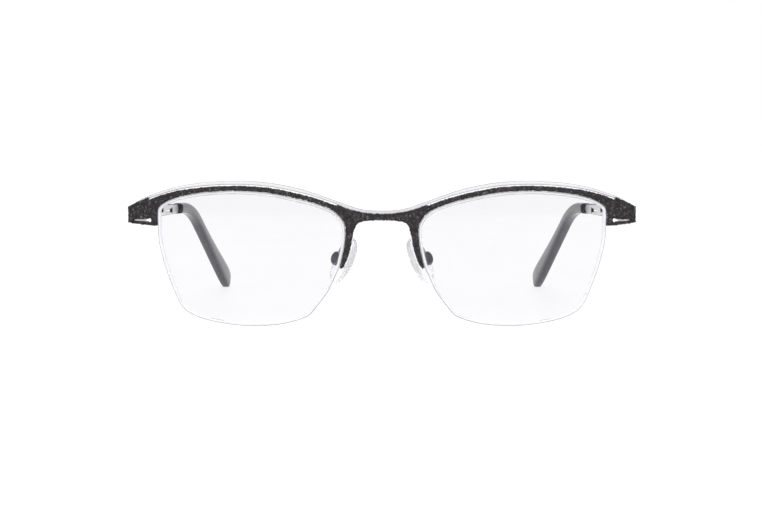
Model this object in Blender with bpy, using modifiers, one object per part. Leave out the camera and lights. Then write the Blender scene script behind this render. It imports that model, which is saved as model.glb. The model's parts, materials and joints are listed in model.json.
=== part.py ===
"""Semi-rimless eyeglasses: a formed metal front, nylon-held lenses, silicone nose pads and folding temples.

The front faces -Y, the temples run back along +Y and +Z is up. The glasses stand open on the bottom edges of
their lenses and on the ends of their temple tips. Dimensions are in millimetres, and MM turns every
finished mesh into metres. Each sided piece is drawn for the +X side, and the other side is its mirror image.
"""

import math

import bmesh
import bpy
from mathutils import Matrix, Vector

MM = 0.001
WELD = 0.002
TURNED_WELD = 0.001 * MM
FLAT_ANGLE = 0.001
SHARP_ANGLE = math.radians(35)
ROUND_SIDES = 20
SIDE_NAME = {1: "right", -1: "left"}

# The front in plan: each lens is an arc of this radius, turned back a little at its outer end.
LENS_CENTRE_X = 35.5
LENS_RADIUS = 150.0
FACE_FORM_SLOPE = 0.10
BRIDGE_HALF = 10.0

# The front from the side: the same arc again, leaning back towards the cheeks.
LENS_CENTRE_Z = 18.5
PANTOSCOPIC_SLOPE = 0.0875
LEVEL_Z = 31.0
FORM_FADE = (61.0, 66.0)

# The bend that carries each end piece round to the temple.
BEND_START = 66.1
BEND_RADIUS = 5.5
TEMPLE_LEAN = math.radians(5.5)
RETURN_LEG = 1.4

SHEET = 0.8
BAR_THICKNESS = 0.9
LAYER_GAP = 0.3

# The lens, with a groove all round its edge.
LENS_THICKNESS = 1.9
RIM_GAP = 0.15
GROOVE_HALF = 0.4
GROOVE_DEPTH = 0.85
EDGE_CHAMFER = 0.12
FACE_RINGS = (0.4, 0.75, 1)
CURVE_STEPS = 2
LENS_UPPER = [
    (61.15, 27.5), (61.2, 30.4), (61.0, 32.1), (60.0, 33.2), (57.9, 34.4), (54.4, 35.5), (49.4, 36.4),
    (44.0, 36.85), (39.1, 36.95), (33.3, 36.65), (28.4, 36.0), (23.6, 35.0), (18.8, 33.8), (15.1, 32.5),
    (13.0, 31.4), (11.3, 29.8), (10.2, 28.0), (9.95, 25.7), (10.1, 23.3), (10.7, 19.9), (11.6, 16.4),
]
LENS_LOWER = [
    (13.0, 13.1), (14.6, 9.7), (16.9, 6.5), (19.6, 3.2), (21.6, 2.1), (25.7, 0.9), (29.6, 0.25), (34.6, 0.0),
    (38.8, 0.1), (43.2, 0.6), (47.2, 1.35), (51.2, 2.6), (53.9, 4.2), (55.5, 6.2), (57.3, 10.5),
    (59.0, 15.2), (60.2, 19.6), (61.0, 23.5),
]
CORD_RADIUS = 0.28
CORD_INSET = 0.42
LINER_RADIUS = 0.2
LINER_INSET = 0.2
CORD_TUCK = 1
LINER_TRIM = 3
CORD_SIDES = 6

# The black front plate, from the middle of the bridge outwards. The slot under the brow bar lies between its
# two steps.
BRIDGE_TOP = [(0.0, 30.7), (2.1, 30.72), (5.0, 31.05), (7.8, 31.65), (9.9, 32.3), (12.0, 33.15)]
BROW_TOP = [
    (12.5, 32.95), (15.3, 34.0), (19.7, 35.4), (24.6, 36.6), (29.4, 37.55), (34.7, 38.1), (40.1, 38.25),
    (45.0, 38.1), (50.5, 37.65), (55.4, 36.95), (60.0, 35.8), (63.5, 34.5),
]
END_PIECE = [
    (64.1, 34.45), (64.35, 34.95), (66.1, 34.25), (68.3, 33.4), (70.4, 32.7), (71.8, 32.4),
]
END_BOTTOM = [(70.7, 28.2), (66.0, 27.75), (62.3, 27.45)]
LEG_TIP = [(11.1, 15.9), (10.45, 16.5)]
LEG_NASAL = [
    (9.75, 17.9), (8.95, 20.2), (8.3, 23.4), (7.75, 25.9), (7.3, 27.3), (6.6, 28.2), (5.6, 28.65),
    (4.4, 28.9), (1.6, 29.1), (0.0, 29.1),
]
RETURN_TOP = 32.4
RETURN_BOTTOM = 28.2
END_SLOT = {"bulb": (63.75, 28.88), "radius": 0.55, "end": 69.1, "half": 0.17}
KEYHOLE_NECK = math.asin(0.6)
BULB_SIDES = 10
NECK_SIDES = 4

# Where the front is divided across, so that it can be formed: widely over the lenses, and finely round
# the bend.
FORM_STEP = 5.0
FORM_STEPS = 13
FADE_CUTS = [62.5, 64.3]
BEND_STEPS = 7

# The pale brow bar, a second layer behind the plate. It is wide where it is joined to the plate, and narrow
# above the slot.
BAR_TOP = [
    (0.0, 31.6), (4.0, 31.75), (6.7, 32.3), (9.7, 33.3), (13.1, 34.5), (17.3, 36.0), (21.1, 37.25),
    (24.8, 38.15), (29.4, 39.0), (34.7, 39.55), (40.1, 39.7), (45.1, 39.5), (50.5, 39.05),
    (57.0, 37.9), (63.8, 35.75),
    (67.0, 34.4), (69.8, 33.0),
]
BAR_OUTER_FOOT = [(69.8, 32.0), (67.0, 33.0), (64.5, 34.0)]
BAR_OVER_SLOT = [
    (64.2, 34.95), (57.0, 37.05), (50.5, 38.1), (45.0, 38.55), (40.1, 38.68), (34.7, 38.5), (29.4, 37.95),
    (24.6, 37.05), (19.7, 35.85), (15.3, 34.45), (12.3, 33.4),
]
BAR_BRIDGE_FOOT = [(12.0, 32.3), (9.7, 31.4), (5.0, 30.3), (0.0, 29.95)]

# The hinge. Its own axes: along runs back down the temple, across runs in from it, and the pin is the
# origin.
PIN_TO_SHEET = 2.8
BUTT_GAP = 0.3
BARREL_RADIUS = 1.25
BORE_RADIUS = 0.62
HINGE_Z = 30.3
KNUCKLE_HEIGHT = 1.2
KNUCKLE_GAP = 0.15
LEAF_ACROSS = (-2.1, -1.4)
FRONT_LEAF_END = -2.9
TEMPLE_LEAF_END = 5.6
SCREW_RADIUS = 0.5
SCREW_HEAD_RADIUS = 0.95
SCREW_HEAD_HEIGHT = 0.4
SCREW_HEAD_CHAMFER = 0.2
SCREW_SLOT = (0.26, 3.0, 0.36)
SCREW_SEAT_GAP = 0.08
SCREW_SIDES = 16

# The temple, along a line that runs level, turns down at the ear and leans in towards the head.
EAR_BEND_START = 62.0
EAR_BEND_RADIUS = 55.0
EAR_DROP = math.radians(26)
TEMPLE_END = 139.5
LEAN_IN_START = 80.0
LEAN_IN = 0.0003
TEMPLE_HEIGHTS = [(0.0, 2.1), (12.0, 2.0), (30.0, 1.75), (55.5, 1.42)]
TEMPLE_STATIONS = [6.0 * i for i in range(1, 10)]
TIP_START = 56.5
CORE_HALF_HEIGHT = 0.8
CORE_STATIONS = [60.0]
CORE_STRAIGHT = 100.0
CORE_END = 116.0
EAR_STEPS = 6
LEAN_CUTS = [80.0 + 4 * i for i in range(9)]
TEMPLE_SLOTS = [
    {"bulb": (36.0, 30.5), "radius": 0.8, "end": 28.0, "half": 0.2},
    {"bulb": (48.0, 30.0), "radius": 0.8, "end": 40.2, "half": 0.2},
]

# The temple tip, as half height and half thickness along the temple.
TIP_SECTIONS = [
    (56.5, 1.5, 1.55), (57.1, 1.65, 1.7), (66.0, 1.7, 1.7), (92.0, 1.9, 1.7), (105.0, 2.3, 1.7),
    (118.0, 2.9, 1.7), (130.0, 3.5, 1.65), (135.5, 3.55, 1.5), (138.2, 3.1, 1.3), (139.5, 2.1, 0.8),
]
TIP_STATION = 3.0
TIP_SIDES = 16
TIP_ROUNDNESS = 3.2
CORE_CLEARANCE = 0.18
CORE_POCKET_END = 117.0
POCKET_ROUNDNESS = 8
TIP_ACROSS = 0.2

# The nose pads and what holds them.
PAD_CENTRE = Vector((10.25, 7.5, 17.6))
PAD_LONG_AXIS = Vector((0.41, 0.08, -0.91)).normalized()
PAD_FACING = Vector((-0.76, 0.60, -0.24))
PAD_LENGTH = 13.4
PAD_WIDTH = 7.2
PAD_THICKNESS = 2.8
PAD_SIDES = 28
PAD_ROUNDNESS = 2.3
PAD_PROFILE = [
    (0.80, -1.40), (0.95, -1.10), (1.00, -0.45), (0.97, 0.25), (0.86, 0.85), (0.62, 1.20), (0.30, 1.37),
]
INSERT_HALF = (2.5, 1.6)
INSERT_THICKNESS = 0.45
POCKET_GAP = 0.16
CUP_RADIUS = 1.95
CUP_BORE = 1.4
CUP_HEIGHT = 1.8
CUP_FLOOR = 0.42
CUP_LIP = 0.1
CUP_FOOT = 0.35
CUP_TO_PAD = 0.55
PAD_PIN_DEPTH = 0.7
PAD_SCREW_RADIUS = 0.32
PAD_SCREW_BORE = 0.4
PAD_SCREW_HEAD = (0.6, 0.35)
PAD_SCREW_CHAMFER = 0.1
PAD_SCREW_SIDES = 12
PAD_DRILL_HALF = 4.0
TAB_WIDTH = 0.95
TAB_HALF_LENGTH = 0.58
TAB_ROOT = 0.2
TAB_SIDES = 8
ARM_RADIUS = 0.48
ARM_SIDES = 10
ARM_STEPS = 3
ARM_PATH = [(9.0, 0.6, 24.1), (9.15, 2.2, 24.6), (9.8, 3.9, 24.2), (10.55, 5.0, 22.8)]
ARM_TO_CUP = (3.2, 2.12)

parts = bpy.data.collections.new("half_rim_eyeglasses")
cutters = bpy.data.collections.new("cutters")


# ---------------------------------------------------------------- curves


def smooth(points, steps, closed=False):
    """Points on the smooth curve through the given ones, so many to a span."""
    points = [Vector(point) for point in points]
    count = len(points)

    def neighbour(i):
        return points[i % count] if closed else points[min(max(i, 0), count - 1)]

    def slope(i):
        before, here, after = neighbour(i - 1), neighbour(i), neighbour(i + 1)
        return (after - before) / ((here - before).length + (after - here).length)

    curve = []
    for i in range(count if closed else count - 1):
        start, end = neighbour(i), neighbour(i + 1)
        span = (end - start).length
        for step in range(steps):
            t = step / steps
            curve.append(
                (2 * t**3 - 3 * t**2 + 1) * start
                + (t**3 - 2 * t**2 + t) * span * slope(i)
                + (3 * t**2 - 2 * t**3) * end
                + (t**3 - t**2) * span * slope(i + 1)
            )
    return curve if closed else curve + [points[-1]]


def inset(loop, distance):
    """The closed curve moved in by a distance, for one that runs anticlockwise."""
    moved = []
    for i, here in enumerate(loop):
        along = (loop[(i + 1) % len(loop)] - loop[i - 1]).normalized()
        moved.append(here + distance * Vector((-along.y, along.x)))
    return moved


def between(table, place):
    """The values at a place along a table whose rows start with their places."""
    for low, high in zip(table, table[1:]):
        if place <= high[0]:
            share = max(0.0, (place - low[0]) / (high[0] - low[0]))
            return [a + share * (b - a) for a, b in zip(low[1:], high[1:])]
    return list(table[-1][1:])


def arc(centre, radius, start, end, steps):
    """Points along a round arc, with both its ends."""
    turns = [start + (end - start) * i / steps for i in range(steps + 1)]
    return [Vector(centre) + radius * Vector((math.cos(turn), math.sin(turn))) for turn in turns]


def circle(centre, radius, sides):
    return arc(centre, radius, 0, 2 * math.pi, sides)[:-1]


def rounded(half_x, half_y, roundness, sides):
    """A closed loop between an ellipse (roundness 2) and a rectangle (a large roundness)."""
    power = 2 / roundness
    first = math.pi / sides
    loop = []
    for x, y in arc((0, 0), 1, first, first + 2 * math.pi, sides)[:-1]:
        drawn_x = math.copysign(abs(x) ** power, x)
        drawn_y = math.copysign(abs(y) ** power, y)
        loop.append(Vector((half_x * drawn_x, half_y * drawn_y)))
    return loop


def mirrored(loop, way):
    """The loop, turned over left to right if way is -1."""
    return [Vector((way * point[0], point[1])) for point in loop]


def keyhole(bulb, radius, end, half):
    """A slot with a round bulb, from which a narrow neck runs to a small round end."""
    length = abs(end - bulb[0]) - half
    loop = arc((0, 0), radius, KEYHOLE_NECK, 2 * math.pi - KEYHOLE_NECK, BULB_SIDES)
    loop += arc((length, 0), half, -math.pi / 2, math.pi / 2, NECK_SIDES)
    return [Vector(bulb) + point for point in mirrored(loop, math.copysign(1, end - bulb[0]))]


# ---------------------------------------------------------------- the form of the front and of the temple


def lens_arc(x):
    return FACE_FORM_SLOPE * (x - LENS_CENTRE_X) + (x - LENS_CENTRE_X) ** 2 / (2 * LENS_RADIUS)


BRIDGE_SLOPE = FACE_FORM_SLOPE + (BRIDGE_HALF - LENS_CENTRE_X) / LENS_RADIUS
BRIDGE_SETBACK = lens_arc(BRIDGE_HALF) - BRIDGE_SLOPE * BRIDGE_HALF / 2


def plan(x):
    """How far back the middle of the sheet lies at x, and its slope there, for x from 0 to the bend."""
    if x < BRIDGE_HALF:
        return BRIDGE_SLOPE * x * x / (2 * BRIDGE_HALF), BRIDGE_SLOPE * x / BRIDGE_HALF
    return lens_arc(x) - BRIDGE_SETBACK, FACE_FORM_SLOPE + (x - LENS_CENTRE_X) / LENS_RADIUS


BEND_FROM = math.atan(plan(BEND_START)[1])
BEND_TO = math.pi / 2 + TEMPLE_LEAN
BEND_END = BEND_START + BEND_RADIUS * (BEND_TO - BEND_FROM)
FRONT_END = BEND_END + RETURN_LEG


def middle(u):
    """The middle of the sheet at u along the flat pattern, and its heading, for the +X side."""
    if u <= BEND_START:
        back, slope = plan(u)
        return Vector((u, back)), math.atan(slope)
    heading = min(BEND_FROM + (u - BEND_START) / BEND_RADIUS, BEND_TO)
    start = Vector((BEND_START, plan(BEND_START)[0]))
    place = start + BEND_RADIUS * Vector(
        (math.sin(heading) - math.sin(BEND_FROM), math.cos(BEND_FROM) - math.cos(heading))
    )
    straight = max(0.0, u - BEND_END)
    return place + straight * Vector((math.cos(heading), math.sin(heading))), heading


def profile(z):
    """How far back the front lies at height z, beside what it does at the level of the temples."""
    bulge = (z - LENS_CENTRE_Z) ** 2 - (LEVEL_Z - LENS_CENTRE_Z) ** 2
    return bulge / (2 * LENS_RADIUS) + PANTOSCOPIC_SLOPE * (LEVEL_Z - z)


def form_front(u, z, depth):
    """Carries a point of the flat front, with its depth behind the middle of the sheet, to its place."""
    place, heading = middle(abs(u))
    place = place + depth * Vector((-math.sin(heading), math.cos(heading)))
    share = min(1.0, max(0.0, (abs(u) - FORM_FADE[0]) / (FORM_FADE[1] - FORM_FADE[0])))
    fade = 1 - share * share * (3 - 2 * share)
    return Vector((math.copysign(place.x, u), place.y + fade * profile(z), z))


ALONG = Vector((math.cos(BEND_TO), math.sin(BEND_TO), 0))
ACROSS = Vector((-math.sin(BEND_TO), math.cos(BEND_TO), 0))
PIN = middle(FRONT_END)[0].to_3d() + BUTT_GAP / 2 * ALONG + PIN_TO_SHEET * ACROSS


def form_temple(along, z, across):
    """Carries a point of the flat temple, so far in from the middle of its sheet, to its place."""
    lean_in = LEAN_IN * max(0.0, along - LEAN_IN_START) ** 2
    return PIN + along * ALONG + (across + lean_in - PIN_TO_SHEET) * ACROSS + Vector((0, 0, z))


def temple_line(s):
    """The middle of the temple at a length s back from the pin, as along and z, and its fall there."""
    arc_length = EAR_BEND_RADIUS * EAR_DROP
    fall = min(max(0.0, (s - EAR_BEND_START) / EAR_BEND_RADIUS), EAR_DROP)
    along = min(s, EAR_BEND_START) + EAR_BEND_RADIUS * math.sin(fall)
    z = HINGE_Z - EAR_BEND_RADIUS * (1 - math.cos(fall))
    straight = max(0.0, s - EAR_BEND_START - arc_length)
    return Vector((along + straight * math.cos(fall), z - straight * math.sin(fall))), fall


# ---------------------------------------------------------------- making objects


def material(name, colour, roughness, metallic=0.0, transmission=0.0):
    made = bpy.data.materials.new(name)
    made.use_nodes = True
    shader = made.node_tree.nodes["Principled BSDF"]
    shader.inputs["Base Color"].default_value = (*colour, 1)
    shader.inputs["Roughness"].default_value = roughness
    shader.inputs["Metallic"].default_value = metallic
    shader.inputs["Transmission Weight"].default_value = transmission
    made.diffuse_color = (*colour, 1)
    return made


def add_object(name, shape, finish, side=1, parent=None, collection=None):
    """Makes an object of a bmesh drawn in millimetres for the +X side, mirrored if side is -1."""
    if side < 0:
        shape.transform(Matrix.Scale(-1, 4, (1, 0, 0)))
        bmesh.ops.reverse_faces(shape, faces=shape.faces)
    shape.transform(Matrix.Scale(MM, 4))
    mesh = bpy.data.meshes.new(name)
    shape.to_mesh(mesh)
    shape.free()
    mesh.shade_smooth()
    mesh.set_sharp_from_angle(angle=SHARP_ANGLE)
    if finish:
        mesh.materials.append(finish)
    made = bpy.data.objects.new(name, mesh)
    (collection or parts).objects.link(made)
    made.parent = parent
    if parent:
        made.matrix_parent_inverse = Matrix.Translation(parent.location).inverted()
    if collection is cutters:
        made.hide_render = True
        made.display_type = "WIRE"
    return made


def axis_empty(name, place, parent):
    """An empty on a joint's axis, whose place is in millimetres."""
    made = bpy.data.objects.new(name, None)
    made.location = Vector(place) * MM
    made.empty_display_size = 4 * MM
    made.parent = parent
    parts.objects.link(made)
    return made


def boolean(target, cutter, operation="DIFFERENCE"):
    step = target.modifiers.new(operation.title(), "BOOLEAN")
    step.operation = operation
    step.solver = "EXACT"
    step.object = cutter


def face_out(shape):
    """Turns the faces of a closed shape outwards."""
    bmesh.ops.recalc_face_normals(shape, faces=shape.faces)
    if shape.calc_volume(signed=True) < 0:
        bmesh.ops.reverse_faces(shape, faces=shape.faces)
    return shape


def flat_shape(loops, low, high, cuts=()):
    """A bmesh of what the first loop bounds, less the others, from low to high, divided at the cuts."""
    curve = bpy.data.curves.new("outline", "CURVE")
    curve.dimensions = "2D"
    curve.fill_mode = "BOTH"
    curve.extrude = (high - low) / 2
    for loop in loops:
        spline = curve.splines.new("POLY")
        spline.points.add(len(loop) - 1)
        for point, place in zip(spline.points, loop):
            point.co = (place[0], place[1], 0, 1)
        spline.use_cyclic_u = True
    guide = bpy.data.objects.new("outline", curve)
    bpy.context.scene.collection.objects.link(guide)
    flat = bpy.data.meshes.new_from_object(guide.evaluated_get(bpy.context.evaluated_depsgraph_get()))
    shape = bmesh.new()
    shape.from_mesh(flat)
    bpy.data.objects.remove(guide)
    bpy.data.meshes.remove(flat)
    bmesh.ops.remove_doubles(shape, verts=shape.verts, dist=WELD)
    bmesh.ops.dissolve_limit(shape, angle_limit=FLAT_ANGLE, verts=[], edges=shape.edges)
    for place in cuts:
        everything = [*shape.verts, *shape.edges, *shape.faces]
        bmesh.ops.bisect_plane(shape, geom=everything, dist=WELD, plane_co=(place, 0, 0), plane_no=(1, 0, 0))
    bmesh.ops.triangulate(shape, faces=shape.faces)
    for vert in shape.verts:
        vert.co.z += (low + high) / 2
    return face_out(shape)


def reshape(shape, form):
    """Moves each point of a flat shape to form(x, y, z), then turns the faces outwards."""
    for vert in shape.verts:
        vert.co = form(*vert.co)
    return face_out(shape)


def tube(path, radius, sides):
    """A bmesh of a round wire along a path, with flat ends, from a bevelled curve."""
    curve = bpy.data.curves.new("wire", "CURVE")
    curve.dimensions = "3D"
    curve.bevel_depth = radius
    curve.bevel_resolution = (sides - 4) // 2
    curve.use_fill_caps = True
    spline = curve.splines.new("POLY")
    spline.points.add(len(path) - 1)
    for point, place in zip(spline.points, path):
        point.co = (*place, 1)
    guide = bpy.data.objects.new("wire", curve)
    bpy.context.scene.collection.objects.link(guide)
    round_wire = bpy.data.meshes.new_from_object(guide.evaluated_get(bpy.context.evaluated_depsgraph_get()))
    shape = bmesh.new()
    shape.from_mesh(round_wire)
    bpy.data.objects.remove(guide)
    bpy.data.meshes.remove(round_wire)
    bmesh.ops.remove_doubles(shape, verts=shape.verts, dist=WELD)
    return face_out(shape)


def loft(rings):
    """A bmesh through closed rings of equally many points, with a fan over each end."""
    shape = bmesh.new()
    rows = [[shape.verts.new(point) for point in ring] for ring in rings]
    for row, after in zip(rows, rows[1:]):
        for i in range(len(row)):
            j = (i + 1) % len(row)
            shape.faces.new((row[i], row[j], after[j], after[i]))
    for row in (rows[0], rows[-1]):
        hub = shape.verts.new(sum((vert.co for vert in row), Vector()) / len(row))
        for i in range(len(row)):
            shape.faces.new((row[i], row[(i + 1) % len(row)], hub))
    return face_out(shape)


def cylinder(radius, low, high, place, axis, sides):
    """A bmesh of a cylinder from low to high along an axis through a place."""
    shape = bmesh.new()
    turn = Vector(axis).to_track_quat("Z", "Y").to_matrix().to_4x4()
    matrix = Matrix.Translation(place) @ turn @ Matrix.Translation((0, 0, (low + high) / 2))
    bmesh.ops.create_cone(
        shape, cap_ends=True, segments=sides, radius1=radius, radius2=radius, depth=high - low, matrix=matrix
    )
    return shape


def block(size, matrix):
    """A bmesh of a box of a size, centred and turned by a matrix."""
    shape = bmesh.new()
    bmesh.ops.create_cube(shape, size=1, matrix=matrix @ Matrix.Diagonal((*size, 1)))
    return shape


def turned(name, outline, finish, place, axis, side, parent, sides=ROUND_SIDES):
    """A turned piece: its outline, as radius and height, goes round an axis through a place."""
    mesh = bpy.data.meshes.new(name)
    points = [(radius * MM, 0, height * MM) for radius, height in outline]
    mesh.from_pydata(points, [(i, i + 1) for i in range(len(points) - 1)], [])
    mesh.materials.append(finish)
    made = bpy.data.objects.new(name, mesh)
    mirror = Vector((side, 1, 1))
    made.location = Vector(place) * mirror * MM
    made.rotation_mode = "QUATERNION"
    made.rotation_quaternion = (Vector(axis) * mirror).to_track_quat("Z", "Y")
    made.parent = parent
    if parent:
        made.matrix_parent_inverse = Matrix.Translation(parent.location).inverted()
    parts.objects.link(made)
    spin = made.modifiers.new("Turn", "SCREW")
    spin.steps = spin.render_steps = sides
    spin.use_merge_vertices = True
    spin.merge_threshold = TURNED_WELD
    spin.use_smooth_shade = False
    return made


# ---------------------------------------------------------------- the front

LENS = smooth(LENS_UPPER + LENS_LOWER, CURVE_STEPS, closed=True)
RIM_LAST = (len(LENS_UPPER) - 1) * CURVE_STEPS
BEND_CUTS = [BEND_START + (BEND_END - BEND_START) * i / BEND_STEPS for i in range(BEND_STEPS + 1)]
FRONT_CUTS = [FORM_STEP * i for i in range(FORM_STEPS)] + FADE_CUTS + BEND_CUTS


def both_halves(half):
    """The whole outline from its +X half, which starts and ends on the middle plane."""
    return [*half, *mirrored(half[-2:0:-1], -1)]


def formed(loops, low, high):
    """A sheet of the front, cut across where it is curved and then formed."""
    cuts = sorted({*FRONT_CUTS, *[-place for place in FRONT_CUTS]})
    return reshape(flat_shape(loops, low, high, cuts), form_front)


def make_front_plate(finish, parent):
    rim = inset(LENS, -RIM_GAP)[: RIM_LAST + 1]
    half = [
        *smooth(BRIDGE_TOP, CURVE_STEPS),
        *smooth(BROW_TOP, CURVE_STEPS),
        *[Vector(point) for point in END_PIECE],
        Vector((FRONT_END, RETURN_TOP)),
        Vector((FRONT_END, RETURN_BOTTOM)),
        *[Vector(point) for point in END_BOTTOM],
        *rim,
        *[Vector(point) for point in LEG_TIP],
        *smooth(LEG_NASAL, CURVE_STEPS),
    ]
    slot = keyhole(**END_SLOT)
    shape = formed([both_halves(half), slot, mirrored(slot, -1)], -SHEET / 2, SHEET / 2)
    return add_object("front_plate", shape, finish, parent=parent)


def make_brow_bar(finish, parent):
    half = [
        *smooth(BAR_TOP, CURVE_STEPS),
        *[Vector(point) for point in BAR_OUTER_FOOT],
        *smooth(BAR_OVER_SLOT, CURVE_STEPS),
        *smooth(BAR_BRIDGE_FOOT, CURVE_STEPS),
    ]
    low = SHEET / 2 + LAYER_GAP
    shape = formed([both_halves(half)], low, low + BAR_THICKNESS)
    return add_object("brow_bar", shape, finish, parent=parent)


def lens_ring(share, distance, depth):
    """One ring of a lens: its outline moved in by a distance, then drawn in to a share of its size."""
    centre = Vector((LENS_CENTRE_X, LENS_CENTRE_Z))
    ring = [centre + share * (point - centre) for point in inset(LENS, distance)]
    return [form_front(point.x, point.y, depth) for point in ring]


def make_lens(side, finish, parent):
    half = LENS_THICKNESS / 2
    rings = [lens_ring(share, EDGE_CHAMFER, -half) for share in FACE_RINGS]
    rings.append(lens_ring(1, 0, EDGE_CHAMFER - half))
    rings += [lens_ring(1, distance, -GROOVE_HALF) for distance in (0, GROOVE_DEPTH)]
    rings += [lens_ring(1, distance, GROOVE_HALF) for distance in (GROOVE_DEPTH, 0)]
    rings.append(lens_ring(1, 0, half - EDGE_CHAMFER))
    rings += [lens_ring(share, EDGE_CHAMFER, half) for share in reversed(FACE_RINGS)]
    return add_object(f"lens_{SIDE_NAME[side]}", loft(rings), finish, side, parent)


def edge_path(first, last, distance):
    """A path in the lens's groove, from one point of its outline to another, a distance in from its edge."""
    ring = inset(LENS, distance)
    return [form_front(*ring[i % len(ring)], 0) for i in range(first, last + 1)]


def make_lens_cord(side, finish, parent):
    """The nylon cord that holds the lens from below, in its groove, tucked beside the rim at both ends."""
    path = edge_path(RIM_LAST - CORD_TUCK, len(LENS) + CORD_TUCK, CORD_INSET)
    shape = tube(path, CORD_RADIUS, CORD_SIDES)
    return add_object(f"lens_cord_{SIDE_NAME[side]}", shape, finish, side, parent)


def make_rim_liner(side, finish, parent):
    """The strand that fills the groove along the metal rim, clear of the cord's two ends."""
    path = edge_path(LINER_TRIM, RIM_LAST - LINER_TRIM, LINER_INSET)
    shape = tube(path, LINER_RADIUS, CORD_SIDES)
    return add_object(f"rim_liner_{SIDE_NAME[side]}", shape, finish, side, parent)


# ---------------------------------------------------------------- the nose pads

PAD_SIDEWAYS = PAD_FACING.cross(PAD_LONG_AXIS).normalized()
PAD_NORMAL = PAD_LONG_AXIS.cross(PAD_SIDEWAYS)
PAD_TURN = Matrix((PAD_LONG_AXIS, PAD_SIDEWAYS, PAD_NORMAL)).transposed()
PAD_FRAME = Matrix.Translation(PAD_CENTRE) @ PAD_TURN.to_4x4()
PAD_BACK = -PAD_THICKNESS / 2
CUP_MOUTH = PAD_BACK - CUP_TO_PAD
PAD_PIN = PAD_FRAME @ Vector((0, 0, CUP_MOUTH - PAD_PIN_DEPTH))


def make_nose_pad(side, finish, parent):
    """A soft oval with a domed face, and a pocket in its back for the insert."""
    outline = rounded(PAD_LENGTH / 2, PAD_WIDTH / 2, PAD_ROUNDNESS, PAD_SIDES)
    pocket = rounded(INSERT_HALF[0] + POCKET_GAP, INSERT_HALF[1] + POCKET_GAP, PAD_ROUNDNESS, PAD_SIDES)
    floor = PAD_BACK + INSERT_THICKNESS + POCKET_GAP
    rings = [[Vector((*point, height)) for point in pocket] for height in (floor, PAD_BACK)]
    rings += [[Vector((*(share * point), height)) for point in outline] for share, height in PAD_PROFILE]
    shape = loft(rings)
    shape.transform(PAD_FRAME)
    return add_object(f"nose_pad_{SIDE_NAME[side]}", shape, finish, side, parent)


def make_pad_insert(side, finish, parent):
    """A plate set in the pad's back, with a tab that hangs on the pad screw."""
    oval = rounded(*INSERT_HALF, PAD_ROUNDNESS, PAD_SIDES)
    plate = flat_shape([oval], PAD_BACK, PAD_BACK + INSERT_THICKNESS)
    plate.transform(PAD_FRAME)
    insert = add_object(f"pad_insert_{SIDE_NAME[side]}", plate, finish, side, parent)
    pin = (0, CUP_MOUTH - PAD_PIN_DEPTH)
    root = PAD_BACK + TAB_ROOT
    tab = arc(pin, TAB_HALF_LENGTH, math.pi, 2 * math.pi, TAB_SIDES)
    tab += [Vector((TAB_HALF_LENGTH, root)), Vector((-TAB_HALF_LENGTH, root))]
    hole = circle(pin, PAD_SCREW_BORE, PAD_SCREW_SIDES)
    tab_shape = flat_shape([tab, hole], -TAB_WIDTH / 2, TAB_WIDTH / 2)
    reshape(tab_shape, lambda x, y, z: PAD_FRAME @ Vector((x, z, y)))
    tab_object = add_object(f"cut_tab_{SIDE_NAME[side]}", tab_shape, None, side, parent, cutters)
    boolean(insert, tab_object, "UNION")
    return insert


def make_pad_cup(side, finish, parent):
    """The round cup that holds the pad: open towards it, with a cross hole for the screw."""
    outline = [
        (0, CUP_FLOOR), (CUP_BORE, CUP_FLOOR), (CUP_BORE, CUP_HEIGHT), (CUP_RADIUS - CUP_LIP, CUP_HEIGHT),
        (CUP_RADIUS, CUP_HEIGHT - CUP_LIP), (CUP_RADIUS, CUP_FOOT), (CUP_RADIUS - CUP_FOOT, 0), (0, 0),
    ]
    base = PAD_FRAME @ Vector((0, 0, CUP_MOUTH - CUP_HEIGHT))
    cup = turned(f"pad_cup_{SIDE_NAME[side]}", outline, finish, base, PAD_NORMAL, side, parent)
    drill = cylinder(PAD_SCREW_BORE, -PAD_DRILL_HALF, PAD_DRILL_HALF, PAD_PIN, PAD_SIDEWAYS, PAD_SCREW_SIDES)
    boolean(cup, add_object(f"cut_cup_{SIDE_NAME[side]}", drill, None, side, parent, cutters))
    return cup


def make_pad_screw(side, finish, parent):
    radius, height = PAD_SCREW_HEAD
    seat = CUP_RADIUS + SCREW_SEAT_GAP
    top = seat + height
    outline = [
        (0, top), (radius - PAD_SCREW_CHAMFER, top), (radius, top - PAD_SCREW_CHAMFER), (radius, seat),
        (PAD_SCREW_RADIUS, seat), (PAD_SCREW_RADIUS, -CUP_RADIUS), (0, -CUP_RADIUS),
    ]
    name = f"pad_screw_{SIDE_NAME[side]}"
    return turned(name, outline, finish, PAD_PIN, PAD_SIDEWAYS, side, parent, PAD_SCREW_SIDES)


def make_pad_arm(side, finish, parent):
    """The wire from the back of the nasal leg to the side of the cup."""
    cup_middle = PAD_FRAME @ Vector((0, 0, CUP_MOUTH - CUP_HEIGHT / 2))
    ends = [cup_middle - distance * PAD_LONG_AXIS for distance in ARM_TO_CUP]
    shape = tube(smooth([*ARM_PATH, *ends], ARM_STEPS), ARM_RADIUS, ARM_SIDES)
    return add_object(f"pad_arm_{SIDE_NAME[side]}", shape, finish, side, parent)


# ---------------------------------------------------------------- the hinges

HINGE_FRAME = Matrix.Translation(PIN) @ Matrix((ALONG, ACROSS, Vector((0, 0, 1)))).transposed().to_4x4()
HINGE_LOW = HINGE_Z - 1.5 * KNUCKLE_HEIGHT - KNUCKLE_GAP
KNUCKLE_LOWS = [HINGE_LOW + i * (KNUCKLE_HEIGHT + KNUCKLE_GAP) for i in range(3)]
HINGE_HIGH = KNUCKLE_LOWS[2] + KNUCKLE_HEIGHT


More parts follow.
